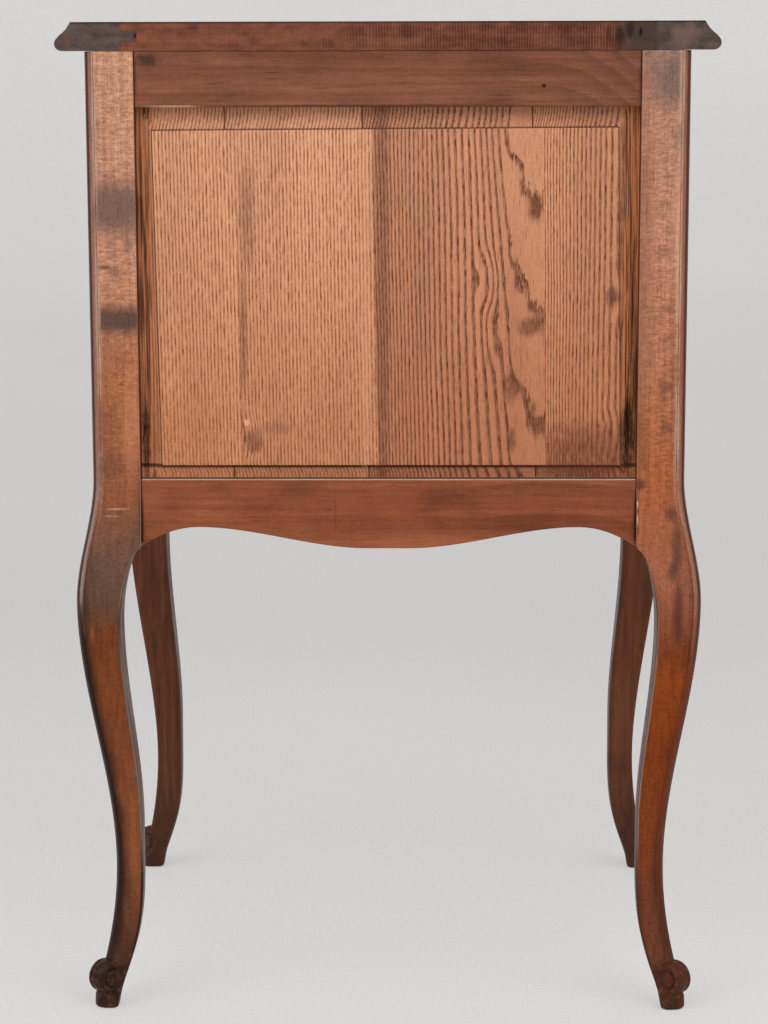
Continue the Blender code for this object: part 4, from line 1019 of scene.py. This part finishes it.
def apron_edge(x, half):
    """The height of an apron's shaped lower edge, x from its middle, half the length between posts."""
    x = abs(x)
    peak = half - APRON_ARCH_FROM_POST
    if x > peak:
        drop = (APRON_END_HEIGHT - APRON_ARCH_HEIGHT) * ((x - peak) / APRON_ARCH_FROM_POST) ** 2
        return APRON_TOP - APRON_ARCH_HEIGHT - drop
    rise = (APRON_MIDDLE_HEIGHT - APRON_ARCH_HEIGHT) * eased((x - APRON_FLAT) / (peak - APRON_FLAT))
    return APRON_TOP - APRON_MIDDLE_HEIGHT + rise


def apron_face(half, face):
    """Rows of points over an apron, from its shaped edge to its top, with its face at face(x)."""
    xs = spaced(FIT - half, half - FIT, EDGE_STEPS)
    rows = []
    for share in spaced(0.0, 1.0, CORNER_STEPS):
        row = []
        for x in xs:
            edge = apron_edge(x, half)
            row.append((x, face(x), edge + share * (APRON_TOP - edge)))
        rows.append(row)
    return rows


def frame_apron(half):
    return relief(apron_face(half, lambda x: BACK_Y), BACK_Y - RAIL_THICKNESS)


def frame_rail(half):
    xs = spaced(FIT - half, half - FIT, EDGE_STEPS)
    rows = [[(x, BACK_Y, z) for x in xs] for z in spaced(RAIL_BOTTOM, TOP_LOW - FIT, CORNER_STEPS)]
    return relief(rows, BACK_Y - RAIL_THICKNESS)


def turned(mesh, side):
    """A piece made along X, with its outer face towards +Y, set along Y with that face at a side (X)."""
    shape = bmesh.new()
    shape.from_mesh(mesh)
    for vertex in shape.verts:
        x, y, z = vertex.co
        vertex.co = (side * (y - BACK_Y + BODY_WIDTH / 2), MIDDLE_Y + x, z)
    return mesh_of(shape)


def margin_depth(share):
    """How far behind the frame's face a margin lies, from the field's edge (0) to the frame (1)."""
    foot = FIELD_INSET + FIELD_SHOULDER
    deep = GROOVE_INSET + FIT
    return foot + (deep - foot) * (1 - (1 - min(share, 1.0)) ** COVE_POWER)


def panel_depth(x, z, half, margins):
    side, top, bottom = margins
    share_x = (abs(x) - half + side) / side
    share_z = max((z - RAIL_BOTTOM + top) / top, (APRON_TOP + bottom - z) / bottom)
    share = max(share_x, share_z)
    if share < -FIELD_WEAR / side:
        return FIELD_INSET
    if share <= 0:
        return FIELD_INSET + FIELD_WEAR / 2
    return margin_depth(share)


def panel_stations(low, high, margin_low, margin_high):
    """Places across a panel: its lip, margin, field and far margin, close together where it steps."""
    field_low = low + margin_low
    field_high = high - margin_high
    near = spaced(low, field_low - FIT / 2, MARGIN_STEPS)
    far = spaced(field_high + FIT / 2, high, MARGIN_STEPS)
    worn_near = [field_low, field_low + 2 * FIELD_WEAR]
    worn_far = [field_high - 2 * FIELD_WEAR, field_high]
    inside = spaced(field_low + 3 * FIELD_WEAR, field_high - 3 * FIELD_WEAR, FIELD_STEPS)
    return [low - PANEL_BITE, *near, *worn_near, *inside, *worn_far, *far, high + PANEL_BITE]


def side_panel():
    side, top, bottom = SIDE_MARGINS
    xs = panel_stations(-INNER_Y, INNER_Y, side, side)
    rows = []
    for z in panel_stations(APRON_TOP, RAIL_BOTTOM, bottom, top):
        rows.append([(x, BACK_Y - panel_depth(x, z, INNER_Y, SIDE_MARGINS), z) for x in xs])
    return relief(rows, BACK_Y - GROOVE_INSET - PANEL_EDGE)


def board_columns(index, in_field):
    """Places across one back board, from its left edge to its right.

    In the field the next board laps over, and in the margins an open joint shows.
    """
    lap = BOARD_LAP if in_field else 0.0
    gap = BOARD_GAP if in_field else MARGIN_GAP
    side = BACK_MARGINS[0]
    whole = panel_stations(-INNER_X, INNER_X, side, side)
    # The lip, the margin and the two worn places beside it
    margin = MARGIN_STEPS + 4
    start = whole[:margin]
    finish = whole[-margin:]
    if index > 0:
        start = [BOARD_SEAMS[index - 1] - lap + gap / 2]
    if index < len(BOARD_SEAMS):
        finish = [BOARD_SEAMS[index] - lap - gap / 2]
    return [*start, *spaced(start[-1], finish[0], FIELD_STEPS)[1:-1], *finish]


def back_board(index):
    """A board of the back panel, which leans in its frame, and whose field's top edge falls to one side."""
    _, top, bottom = BACK_MARGINS
    rows = []
    for z in panel_stations(APRON_TOP, RAIL_BOTTOM, bottom, top):
        in_field = APRON_TOP + bottom - FIT / 4 < z < RAIL_BOTTOM - top + FIT / 4
        share = (z - APRON_TOP) / (RAIL_BOTTOM - APRON_TOP)
        row = []
        for x in board_columns(index, in_field):
            depth = panel_depth(x, z, INNER_X, BACK_MARGINS)
            row.append((x + GRAIN_LEAN * (z - PANEL_MIDDLE), BACK_Y - depth, z - FIELD_TILT * share * x))
        rows.append(row)
    return relief(rows, BACK_Y - GROOVE_INSET - PANEL_EDGE, BOARD_FLARE)


def top_outline(set_in):
    """The top's plan, drawn in by a distance on the front and the sides."""
    half = TOP_HALF - set_in
    front = FRONT_Y - TOP_OVERHANG + set_in
    radius = TOP_CORNER - set_in
    points = [(half, BACK_Y), (-half, BACK_Y)]
    for turn in spaced(math.pi, 1.5 * math.pi, 2 * CORNER_STEPS):
        across = radius - half + radius * math.cos(turn)
        points.append((across, front + radius + radius * math.sin(turn)))
    for x in spaced(radius - half, half - radius, EDGE_STEPS)[1:-1]:
        points.append((x, front - bow(x)))
    for turn in spaced(1.5 * math.pi, 2 * math.pi, 2 * CORNER_STEPS):
        across = half - radius + radius * math.cos(turn)
        points.append((across, front + radius + radius * math.sin(turn)))
    return points


def whole_top():
    return loft([[(x, y, TOP_LOW + up) for x, y in top_outline(set_in)] for set_in, up in TOP_EDGE])


def top_strips():
    """The outlines, as (x, z), that part the top into its board and its two tongued end pieces."""
    seam = TOP_HALF - TOP_END_WIDTH
    far = TOP_HALF + PAST
    low = TOP_LOW - PAST
    high = TOP_HIGH + PAST
    middle = TOP_LOW + TOP_THICKNESS / 2
    tongue = TOP_TONGUE_HEIGHT / 2
    tip = seam - TOP_TONGUE_LENGTH
    groove = tongue + FIT / 2
    deep = tip - FIT / 2
    half = [(seam, low), (seam, middle - groove), (deep, middle - groove)]
    half += [(deep, middle + groove), (seam, middle + groove), (seam, high)]
    board = [*half, *[(-x, z) for x, z in reversed(half)]]
    shoulder = seam + FIT / 2
    end = [(shoulder, low), (far, low), (far, high), (shoulder, high)]
    end += [(shoulder, middle + tongue), (tip, middle + tongue)]
    end += [(tip, middle - tongue), (shoulder, middle - tongue)]
    return {"top_board": board, "top_end_right": end, "top_end_left": [(-x, z) for x, z in end]}


def top_piece(outline):
    front = FRONT_Y - TOP_OVERHANG - BOW - PAST
    return boolean(whole_top(), [prism(outline, "Y", front, BACK_Y + PAST)], "INTERSECT")


def front_rail(node):
    """A flat rail across the front, bowed in plan, as high as its CAD node."""
    low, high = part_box(node)
    xs = spaced(FIT - INNER_X, INNER_X - FIT, EDGE_STEPS)
    rows = [[(x, FRONT_Y - bow(x), z) for x in xs] for z in spaced(low.z, high.z, CORNER_STEPS)]
    return relief(rows, FRONT_Y + DIVIDER_DEPTH)


# Drawers and pulls


def bead_depth(edge):
    """How far back the drawer front's bead lies at a distance from its edge."""
    for (near, first), (far, second) in zip(DRAWER_BEAD, DRAWER_BEAD[1:]):
        if edge <= far:
            return first + (second - first) * (edge - near) / (far - near)
    return DRAWER_BEAD[-1][1]


def bead_stations(low, high):
    edges = [edge for edge, _ in DRAWER_BEAD]
    inside = spaced(low + edges[-1], high - edges[-1], EDGE_STEPS)
    return [*[low + edge for edge in edges], *inside[1:-1], *[high - edge for edge in reversed(edges)]]


def drawer_front(node):
    """A bowed front with a bead round it, and sockets for the dovetails of the drawer's sides."""
    low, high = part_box(node)
    rows = []
    for z in bead_stations(low.z, high.z):
        row = []
        for x in bead_stations(low.x, high.x):
            edge = min(x - low.x, high.x - x, z - low.z, high.z - z)
            row.append((x, FRONT_Y - bow(x) + bead_depth(edge), z))
        rows.append(row)
    front = relief(rows, FRONT_Y + DRAWER_FRONT_THICKNESS)
    sides = [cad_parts[node.replace("front", f"side_{side}")].data.copy() for side, _ in SIDES]
    for side in sides:
        side.materials.clear()
    return boolean(front, sides, "DIFFERENCE")


def hinge(node):
    """The middle of a bail's hinge line."""
    low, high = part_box(node)
    return Vector((0.0, FRONT_Y - BOW - PULL_AXIS, (low.z + high.z) / 2))


def plate_outline(node):
    """The backplate's lobed cartouche, as (x, z) from its middle, as large as its CAD node."""
    low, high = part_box(node)
    lobed = []
    for i in range(2 * ROUND_STEPS):
        turn = math.pi * i / ROUND_STEPS
        swell = 1 - PLATE_LOBE * math.cos(4 * turn)
        lobed.append((swell * math.cos(turn), swell * math.sin(turn)))
    wide = (high.x - low.x) / 2 / max(x for x, _ in lobed)
    tall = (high.z - low.z) / 2 / max(z for _, z in lobed)
    return [(x * wide, z * tall) for x, z in lobed]


def pull_post(place):
    """A turned post with a ball, which the bail goes into, and a collar at the plate."""
    ball = PULL_BALL_RADIUS
    turns = spaced(*PULL_BALL_TURNS, BALL_STEPS)
    profile = [(-ball * math.cos(turn), ball * math.sin(turn)) for turn in turns]
    foot = PULL_AXIS - FIT
    profile += [(ball, PULL_POST_RADIUS), *[(foot - back, radius) for back, radius in PULL_COLLAR]]
    return lathe(profile, place, (0, 1, 0), (0, 0, 1))


def pull_plate(node):
    middle = hinge(node)
    face = middle.y + PULL_AXIS - FIT
    rings = []
    for share, out in PLATE_RELIEF:
        rings.append([(x * share, face - out, middle.z + z * share) for x, z in plate_outline(node)])
    posts = [pull_post(middle + Vector((side * PULL_SPACING / 2, 0, 0))) for side in (-1, 1)]
    return boolean(loft(rings), posts, "UNION")


def bail_line():
    """The bail's line as (x, z): in through each post, down an arm and round a sagging grip."""
    tip = PULL_SPACING / 2 - PULL_BALL_RADIUS + FIT
    arm = PULL_SPACING / 2 + PULL_BALL_RADIUS + BAIL_BEND
    half = [(tip, 0.0), (arm - BAIL_BEND, 0.0)]
    for turn in spaced(0.0, math.pi / 2, 2 * CORNER_STEPS)[1:]:
        half.append((arm - BAIL_BEND + BAIL_BEND * math.sin(turn), BAIL_BEND * (math.cos(turn) - 1)))
    grip = -BAIL_BEND - BAIL_ARM
    for turn in spaced(0.0, math.pi / 2, EDGE_STEPS // 2)[1:]:
        half.append((arm * math.cos(turn), grip - (grip + BAIL_DROP) * math.sin(turn)))
    return [*half, *[(-x, z) for x, z in half[-2::-1]]]


def bail(middle):
    """A bent rod that swells towards the middle of its grip."""
    rings = []
    line = bail_line()
    for i, (x, z) in enumerate(line):
        before = Vector(line[max(i - 1, 0)])
        after = Vector(line[min(i + 1, len(line) - 1)])
        way = (after - before).normalized()
        out = Vector((way.y, 0.0, -way.x))
        reach = abs(x) / (PULL_SPACING / 2)
        radius = BAIL_RADIUS * (1 + BAIL_SWELL * eased(1 - reach)) if z < -BAIL_BEND else BAIL_RADIUS
        ring = []
        for turn in spaced(0.0, 2 * math.pi, ROUND_STEPS // 4)[:-1]:
            offset = out * math.cos(turn) + Vector((0, 1, 0)) * math.sin(turn)
            ring.append(middle + Vector((x, 0, z)) + offset * radius)
        rings.append(ring)
    return loft(rings)


# Dressing the frame


# The left leg's greyer colours about the knee hold a painted sheen over dark varnish
LEFT_TONES = tones_at(
    (0.000, 46, 29, 21), (0.050, 82, 48, 32), (0.110, 132, 74, 45), (0.250, 120, 63, 31),
    (0.282, 114, 58, 26), (0.307, 95, 67, 54), (0.345, 106, 75, 61), (0.385, 142, 84, 55),
    (0.470, 176, 109, 74), (0.545, 200, 141, 110), (0.700, 205, 150, 119),
)
RIGHT_TONES = tones_at(
    (0.000, 58, 35, 25), (0.050, 105, 58, 37), (0.110, 126, 62, 30), (0.200, 131, 58, 18),
    (0.256, 144, 67, 20), (0.268, 124, 58, 25), (0.320, 151, 90, 64), (0.400, 168, 95, 58),
    (0.560, 192, 133, 103), (0.660, 188, 134, 108), (0.700, 152, 117, 103),
)
LEFT_BEAD = (colour(40, 26, 20), colour(150, 100, 80), 0.85)
RIGHT_BEAD = (colour(108, 52, 31), colour(150, 96, 76), 0.15)
SHEEN = colour(150, 138, 130)
FOOT_WORN = colour(112, 74, 50)
LEG_SIDE = (colour(60, 29, 18), colour(108, 54, 33))
LEFT_STAINS = patches(
    (0.196, 0.5915, 0.060, 0.029, 123, 94, 83, 0.95),
    (0.192, 0.5115, 0.060, 0.015, 96, 70, 60, 0.95),
    (0.196, 0.4075, 0.050, 0.012, 120, 78, 58, 0.45),
    (0.204, 0.549, 0.014, 0.0026, 118, 80, 64, 0.80),
    (0.194, 0.545, 0.006, 0.0055, 140, 100, 82, 0.70),
    (0.184, 0.565, 0.006, 0.012, 150, 108, 90, 0.60),
    (0.205, 0.440, 0.012, 0.012, 128, 82, 62, 0.55),
    (0.207, 0.415, 0.010, 0.050, 128, 78, 56, 0.40),
    (0.184, 0.432, 0.010, 0.050, 206, 134, 96, 0.40),
    (0.198, 0.485, 0.040, 0.016, 150, 96, 70, 0.40),
    (0.207, 0.120, 0.007, 0.045, 52, 32, 23, 0.60),
    (0.204, 0.060, 0.010, 0.030, 44, 28, 21, 0.55),
    (0.1785, 0.372, 0.0016, 0.028, 62, 36, 27, 0.55),
    (0.195, 0.3755, 0.012, 0.0013, 188, 140, 112, 0.70),
    (0.199, 0.3705, 0.009, 0.0009, 180, 132, 106, 0.60),
    (0.2135, 0.285, 0.0018, 0.010, 176, 94, 40, 0.40),
)
RIGHT_STAINS = patches(
    (-0.199, 0.678, 0.026, 0.026, 122, 98, 90, 0.75),
    (-0.206, 0.640, 0.008, 0.014, 120, 96, 90, 0.60),
    (-0.197, 0.559, 0.010, 0.006, 136, 90, 72, 0.40),
    (-0.180, 0.560, 0.012, 0.200, 138, 88, 66, 0.50),
    (-0.207, 0.585, 0.010, 0.080, 222, 162, 132, 0.40),
    (-0.180, 0.425, 0.010, 0.036, 132, 80, 56, 0.45),
    (-0.198, 0.519, 0.0055, 0.0050, 118, 76, 60, 0.50),
    (-0.198, 0.498, 0.0060, 0.0045, 118, 76, 60, 0.45),
    (-0.197, 0.464, 0.0070, 0.0055, 108, 72, 60, 0.60),
    (-0.199, 0.434, 0.0075, 0.0060, 108, 70, 58, 0.55),
    (-0.180, 0.393, 0.007, 0.006, 88, 52, 40, 0.80),
    (-0.1785, 0.372, 0.0016, 0.024, 64, 36, 27, 0.55),
    (-0.1784, 0.379, 0.0012, 0.004, 206, 168, 140, 0.85),
    (-0.1786, 0.368, 0.0010, 0.006, 200, 160, 132, 0.85),
    (-0.203, 0.372, 0.007, 0.008, 92, 60, 48, 0.70),
    (-0.207, 0.350, 0.006, 0.026, 90, 58, 46, 0.75),
    (-0.204, 0.332, 0.006, 0.010, 86, 58, 48, 0.75),
    (-0.208, 0.300, 0.005, 0.036, 84, 48, 34, 0.75),
    (-0.189, 0.300, 0.006, 0.026, 96, 54, 38, 0.60),
)
RAIL_MARKS_AND_SHADOW = patches(
    (-0.1095, 0.6755, 0.0024, 0.0024, 30, 18, 14, 0.95),
    (0.150, 0.6616, 0.026, 0.0011, 205, 165, 138, 0.85),
    (0.1765, 0.680, 0.0013, 0.024, 44, 27, 20, 0.50),
    (-0.1765, 0.680, 0.0012, 0.024, 50, 30, 22, 0.45),
    # Painted shadow: a dark line along the rail's lower edge, over the panel's top
    (0.020, 0.6617, 0.150, 0.0016, 70, 42, 32, 0.70),
    (0.168, 0.694, 0.012, 0.006, 62, 44, 38, 0.80),
)
APRON_STAINS = patches(
    (0.038, 0.374, 0.0009, 0.024, 98, 52, 35, 0.45),
    (-0.1765, 0.372, 0.0014, 0.022, 64, 36, 27, 0.55),
    (0.1765, 0.372, 0.0013, 0.026, 64, 36, 27, 0.50),
)
# Where bare wood ends, colours by height, patches, beaded corner with its painted sheen, and dark edges with
# painted shade, of each back leg
LEFT_LEG = (0.296, LEFT_TONES, LEFT_STAINS, LEFT_BEAD, (0.80, 0.12))
RIGHT_LEG = (0.262, RIGHT_TONES, RIGHT_STAINS, RIGHT_BEAD, (0.35, 0.25))
# Dark and light colour of the rails, and where and how their lines arch
RAIL_TONES = (colour(118, 69, 49), colour(144, 92, 70))
RAIL_ARCH = ((-0.10, 0.690), 60.0, 420.0)
APRON_TONES = (colour(130, 68, 42), colour(158, 92, 61))
APRON_ARCH = ((-0.03, 0.350), 50.0, 14.0)
APRON_DUST_AND_HIGHLIGHT = 0.9
BOARD_SHIFT = 3.0
# Light and dark colour, lines, their wander, wholeness and swells, and patches, some of them painted shade,
# of each back board, from -X
BOARDS = (
    (
        colour(209, 145, 108), colour(96, 49, 28), spreading_lines, 0.008, 0.6,
        (((-0.167, 0.526), (0.012, 0.026), 0.55), ((-0.160, 0.430), (0.014, 0.020), 0.5)),
        patches(
            (-0.1600, 0.5275, 0.0085, 0.0095, 92, 55, 40, 0.90),
            (-0.159, 0.430, 0.0025, 0.007, 70, 40, 28, 0.90),
            (-0.142, 0.412, 0.062, 0.036, 116, 65, 43, 0.90),
            # Painted shade in the open gap and along the margin beside the post
            (-0.1715, 0.428, 0.0075, 0.036, 20, 13, 10, 1.0),
            (-0.1735, 0.500, 0.0040, 0.110, 52, 31, 21, 0.65),
        ),
    ),
    (
        colour(205, 141, 106), colour(84, 43, 25), flame_lines, 0.011, 0.7,
        (((-0.070, 0.540), (0.011, 0.028), 0.9), ((-0.074, 0.500), (0.008, 0.030), -0.6)),
        patches(
            (-0.1035, 0.592, 0.007, 0.014, 96, 54, 36, 0.85),
            (-0.1010, 0.506, 0.012, 0.010, 98, 56, 38, 0.85),
            (-0.088, 0.464, 0.007, 0.017, 100, 57, 39, 0.80),
            (-0.1035, 0.447, 0.004, 0.010, 96, 54, 37, 0.75),
            (-0.088, 0.425, 0.005, 0.012, 92, 52, 36, 0.80),
            (0.004, 0.530, 0.008, 0.300, 104, 62, 42, 0.65),
        ),
    ),
    (
        colour(222, 159, 121), colour(118, 64, 37), even_lines, 0.004, 0.35,
        (((0.098, 0.428), (0.010, 0.020), 0.8),),
        patches(
            (0.097, 0.424, 0.010, 0.012, 112, 72, 50, 0.85),
            (0.080, 0.433, 0.026, 0.006, 148, 102, 76, 0.45),
            (0.1012, 0.4375, 0.0026, 0.003, 228, 192, 160, 0.95),
            (0.103, 0.500, 0.004, 0.060, 122, 78, 56, 0.75),
            (0.100, 0.585, 0.008, 0.050, 132, 88, 66, 0.65),
            (0.016, 0.530, 0.005, 0.300, 222, 162, 126, 0.40),
        ),
    ),
    (
        colour(226, 162, 123), colour(120, 66, 38), even_lines, 0.004, 0.35, (),
        patches(
            (0.150, 0.430, 0.050, 0.036, 172, 104, 66, 0.40),
            # Painted shade in the open gap beside the post
            (0.1745, 0.424, 0.0045, 0.040, 26, 16, 12, 1.0),
        ),
    ),
)
TOP_HOLE = (-0.1765, 0.7125, 0.0018, 0.0045, 14, 10, 9, 0.95)
TOP_STAINS = patches(
    (-0.178, 0.710, 0.024, 0.030, 72, 56, 49, 0.90),
    (-0.162, 0.709, 0.005, 0.011, 44, 27, 21, 0.80),
    (-0.169, 0.714, 0.004, 0.010, 40, 26, 21, 0.80),
    (-0.154, 0.712, 0.003, 0.008, 56, 33, 25, 0.70),
    (0.172, 0.709, 0.005, 0.005, 150, 84, 54, 0.60),
    TOP_HOLE,
)
TOP_END_STAINS = patches(
    (0.1757, 0.7105, 0.0020, 0.0024, 16, 11, 9, 0.95),
    (-0.207, 0.710, 0.016, 0.012, 126, 98, 84, 0.55),
    (-0.181, 0.710, 0.012, 0.030, 70, 55, 48, 0.95),
    (0.222, 0.709, 0.007, 0.006, 112, 74, 58, 0.50),
    TOP_HOLE,
)
TOP_TONES = (colour(78, 40, 29), colour(138, 82, 60))
TOP_END_TONES = (colour(44, 34, 32), colour(101, 84, 78))
SAW_PITCH = 0.0021
POPLAR = (colour(150, 116, 80), colour(204, 172, 130))
POPLAR_PORE = colour(120, 88, 56)
POPLAR_CLOUD = colour(128, 98, 68)
BRASS = (colour(190, 156, 98), colour(150, 116, 68))
BRASS_SPECK = colour(98, 72, 42)


def dress_legs(upright):
    finishes = {
        ("back", 1): leg_finish("leg_left_of_photo", *LEFT_LEG),
        ("back", -1): leg_finish("leg_right_of_photo", *RIGHT_LEG),
    }
    for end_name, end in (("front", -1), ("back", 1)):
        for side_name, side in SIDES:
            finish = finishes.get((end_name, side), upright)
            piece(f"leg_{end_name}_{side_name}", leg(side, end), finish)


def dress_back():
    rail = rail_finish("back_rail", RAIL_TONES, RAIL_ARCH, RAIL_MARKS_AND_SHADOW)
    apron = rail_finish("back_apron", APRON_TONES, APRON_ARCH, APRON_STAINS, APRON_DUST_AND_HIGHLIGHT)
    piece("back_top_rail", frame_rail(INNER_X), rail, bevel=EDGE_BEVEL)
    piece("back_apron", frame_apron(INNER_X), apron, bevel=EDGE_BEVEL)
    for index, look in enumerate(BOARDS):
        finish = board_finish(f"back_board_{index + 1}", *look, BOARD_SHIFT * index)
        piece(f"back_panel_board_{index + 1}", back_board(index), finish)


def dress_sides(upright):
    deepwise = varnished("walnut_deepwise", "Y", shift=4.0)
    for name, side in SIDES:
        rail = turned(frame_rail(INNER_Y), side)
        apron = turned(frame_apron(INNER_Y), side)
        piece(f"side_top_rail_{name}", rail, deepwise, bevel=EDGE_BEVEL)
        piece(f"side_apron_{name}", apron, deepwise, bevel=EDGE_BEVEL)
        piece(f"side_panel_{name}", turned(side_panel(), side), upright)


def dress_top():
    board = top_finish("top_board", "X", TOP_TONES, SAW_PITCH, TOP_STAINS)
    ends = top_finish("top_ends", "Y", TOP_END_TONES, 0.0, TOP_END_STAINS)
    for node, outline in top_strips().items():
        piece(node, top_piece(outline), board if node == "top_board" else ends)


def dress_front(lengthwise):
    for node in ("drawer_divider_lower", "drawer_divider_upper", "front_top_rail"):
        piece(node, front_rail(node), lengthwise, bevel=EDGE_BEVEL)
    front = relief(apron_face(INNER_X, lambda x: FRONT_Y - bow(x)), FRONT_Y + RAIL_THICKNESS)
    piece("front_apron", front, lengthwise, bevel=EDGE_BEVEL)


def dress_drawers(lengthwise):
    poplar = {axis: poplar_finish(f"poplar_{axis}", axis) for axis in "XY"}
    brass = brass_finish("old_brass")
    for name in DRAWER_NAMES:
        body = f"drawer_{name}"
        piece(f"{body}_front", drawer_front(f"{body}_front"), lengthwise, body)
        keep(f"{body}_back", poplar["X"])
        keep(f"{body}_bottom", poplar["X"])
        plate = f"pull_plate_{name}"
        piece(plate, pull_plate(plate), brass, body)
        piece(f"pull_bail_{name}", bail(hinge(plate)), brass, f"bail_{name}")
        for side, _ in SIDES:
            keep(f"{body}_side_{side}", poplar["Y"])
            keep(f"drawer_runner_{name}_{side}", poplar["Y"])
            keep(f"pull_nut_{name}_{side}", brass)
    for side, _ in SIDES:
        keep(f"drawer_kicker_{side}", poplar["Y"])


# Stage, light and camera


FLOOR_HALF_WIDTH = 9.0
FLOOR_NEAR = 9.0
FLOOR_FAR = -4.5
SWEEP_RADIUS = 1.2
SWEEP_HEIGHT = 4.0
SUN_STRENGTH = 1.05
SUN_ANGLE = math.radians(50)
SUNS_FROM = (Vector((0.9, 1.0, 1.1)), Vector((-0.9, 1.0, 1.1)))
WORLD_STRENGTH = 0.52
WORLD_COLOUR = (0.97, 0.98, 1.0, 1.0)


def build_stage():
    """A pale floor that sweeps up into a backdrop far behind."""
    line = [(FLOOR_NEAR, 0.0)]
    for turn in spaced(0.0, math.pi / 2, 2 * CORNER_STEPS):
        line.append((FLOOR_FAR - SWEEP_RADIUS * math.sin(turn), SWEEP_RADIUS * (1 - math.cos(turn))))
    line.append((FLOOR_FAR - SWEEP_RADIUS, SWEEP_HEIGHT))
    shape = bmesh.new()
    rows = [[shape.verts.new((x, y, z)) for y, z in line] for x in (-FLOOR_HALF_WIDTH, FLOOR_HALF_WIDTH)]
    for i in range(len(line) - 1):
        shape.faces.new((rows[0][i], rows[0][i + 1], rows[1][i + 1], rows[1][i]))
    mesh = mesh_of(shape)
    mesh.materials.append(floor_finish("floor"))
    mesh.shade_smooth()
    floor = bpy.data.objects.new("floor", mesh)
    bpy.context.scene.collection.objects.link(floor)


def build_light():
    world = bpy.data.worlds.new("studio")
    world.use_nodes = True
    tree = world.node_tree
    light = tree.nodes["Background"]
    light.inputs["Color"].default_value = WORLD_COLOUR
    light.inputs["Strength"].default_value = WORLD_STRENGTH
    seen = tree.nodes.new("ShaderNodeBackground")
    seen.inputs["Color"].default_value = FLOOR_LIGHT
    path = tree.nodes.new("ShaderNodeLightPath")
    either = tree.nodes.new("ShaderNodeMixShader")
    tree.links.new(path.outputs["Is Camera Ray"], either.inputs[0])
    tree.links.new(light.outputs[0], either.inputs[1])
    tree.links.new(seen.outputs[0], either.inputs[2])
    tree.links.new(either.outputs[0], tree.nodes["World Output"].inputs["Surface"])
    bpy.context.scene.world = world
    for index, place in enumerate(SUNS_FROM):
        sun = bpy.data.lights.new(f"key_{index + 1}", "SUN")
        sun.energy = SUN_STRENGTH
        sun.angle = SUN_ANGLE
        key = bpy.data.objects.new(f"key_{index + 1}", sun)
        key.rotation_euler = place.to_track_quat("Z", "Y").to_euler()
        bpy.context.scene.collection.objects.link(key)


def build_camera():
    """The photograph's camera, which stands behind the nightstand and looks at its back."""
    turn = Vector((math.sin(CAMERA_YAW), math.cos(CAMERA_YAW), 0.0))
    level = Vector((math.cos(CAMERA_YAW), -math.sin(CAMERA_YAW), 0.0))
    forward = turn * math.cos(CAMERA_PITCH) + Vector((0, 0, -math.sin(CAMERA_PITCH)))
    below = -(turn * math.sin(CAMERA_PITCH) + Vector((0, 0, math.cos(CAMERA_PITCH))))
    right = level * math.cos(CAMERA_ROLL) - below * math.sin(CAMERA_ROLL)
    down = level * math.sin(CAMERA_ROLL) + below * math.cos(CAMERA_ROLL)
    columns = [Vector((-v.x, -v.y, v.z)) for v in (right, -down, -forward)]
    columns.append(Vector((-CAMERA_RIGHT, BACK_Y + CAMERA_AWAY, CAMERA_HEIGHT)))
    camera = bpy.data.cameras.new("camera")
    camera.sensor_width = SENSOR
    camera.lens = FOCAL_PIXELS / IMAGE_HEIGHT * SENSOR
    obj = bpy.data.objects.new("camera", camera)
    obj.matrix_world = Matrix([[column[i] for column in columns] for i in range(3)] + [[0, 0, 0, 1]])
    bpy.context.scene.collection.objects.link(obj)
    bpy.context.scene.camera = obj


bpy.context.scene.view_settings.view_transform = "Standard"
build_camera()
build_light()
build_stage()
upright = varnished("walnut_upright", "Z", shift=1.0)
lengthwise = varnished("walnut_crosswise", "X", shift=2.0)
dress_legs(upright)
dress_back()
dress_sides(upright)
dress_top()
dress_front(lengthwise)
dress_drawers(lengthwise)
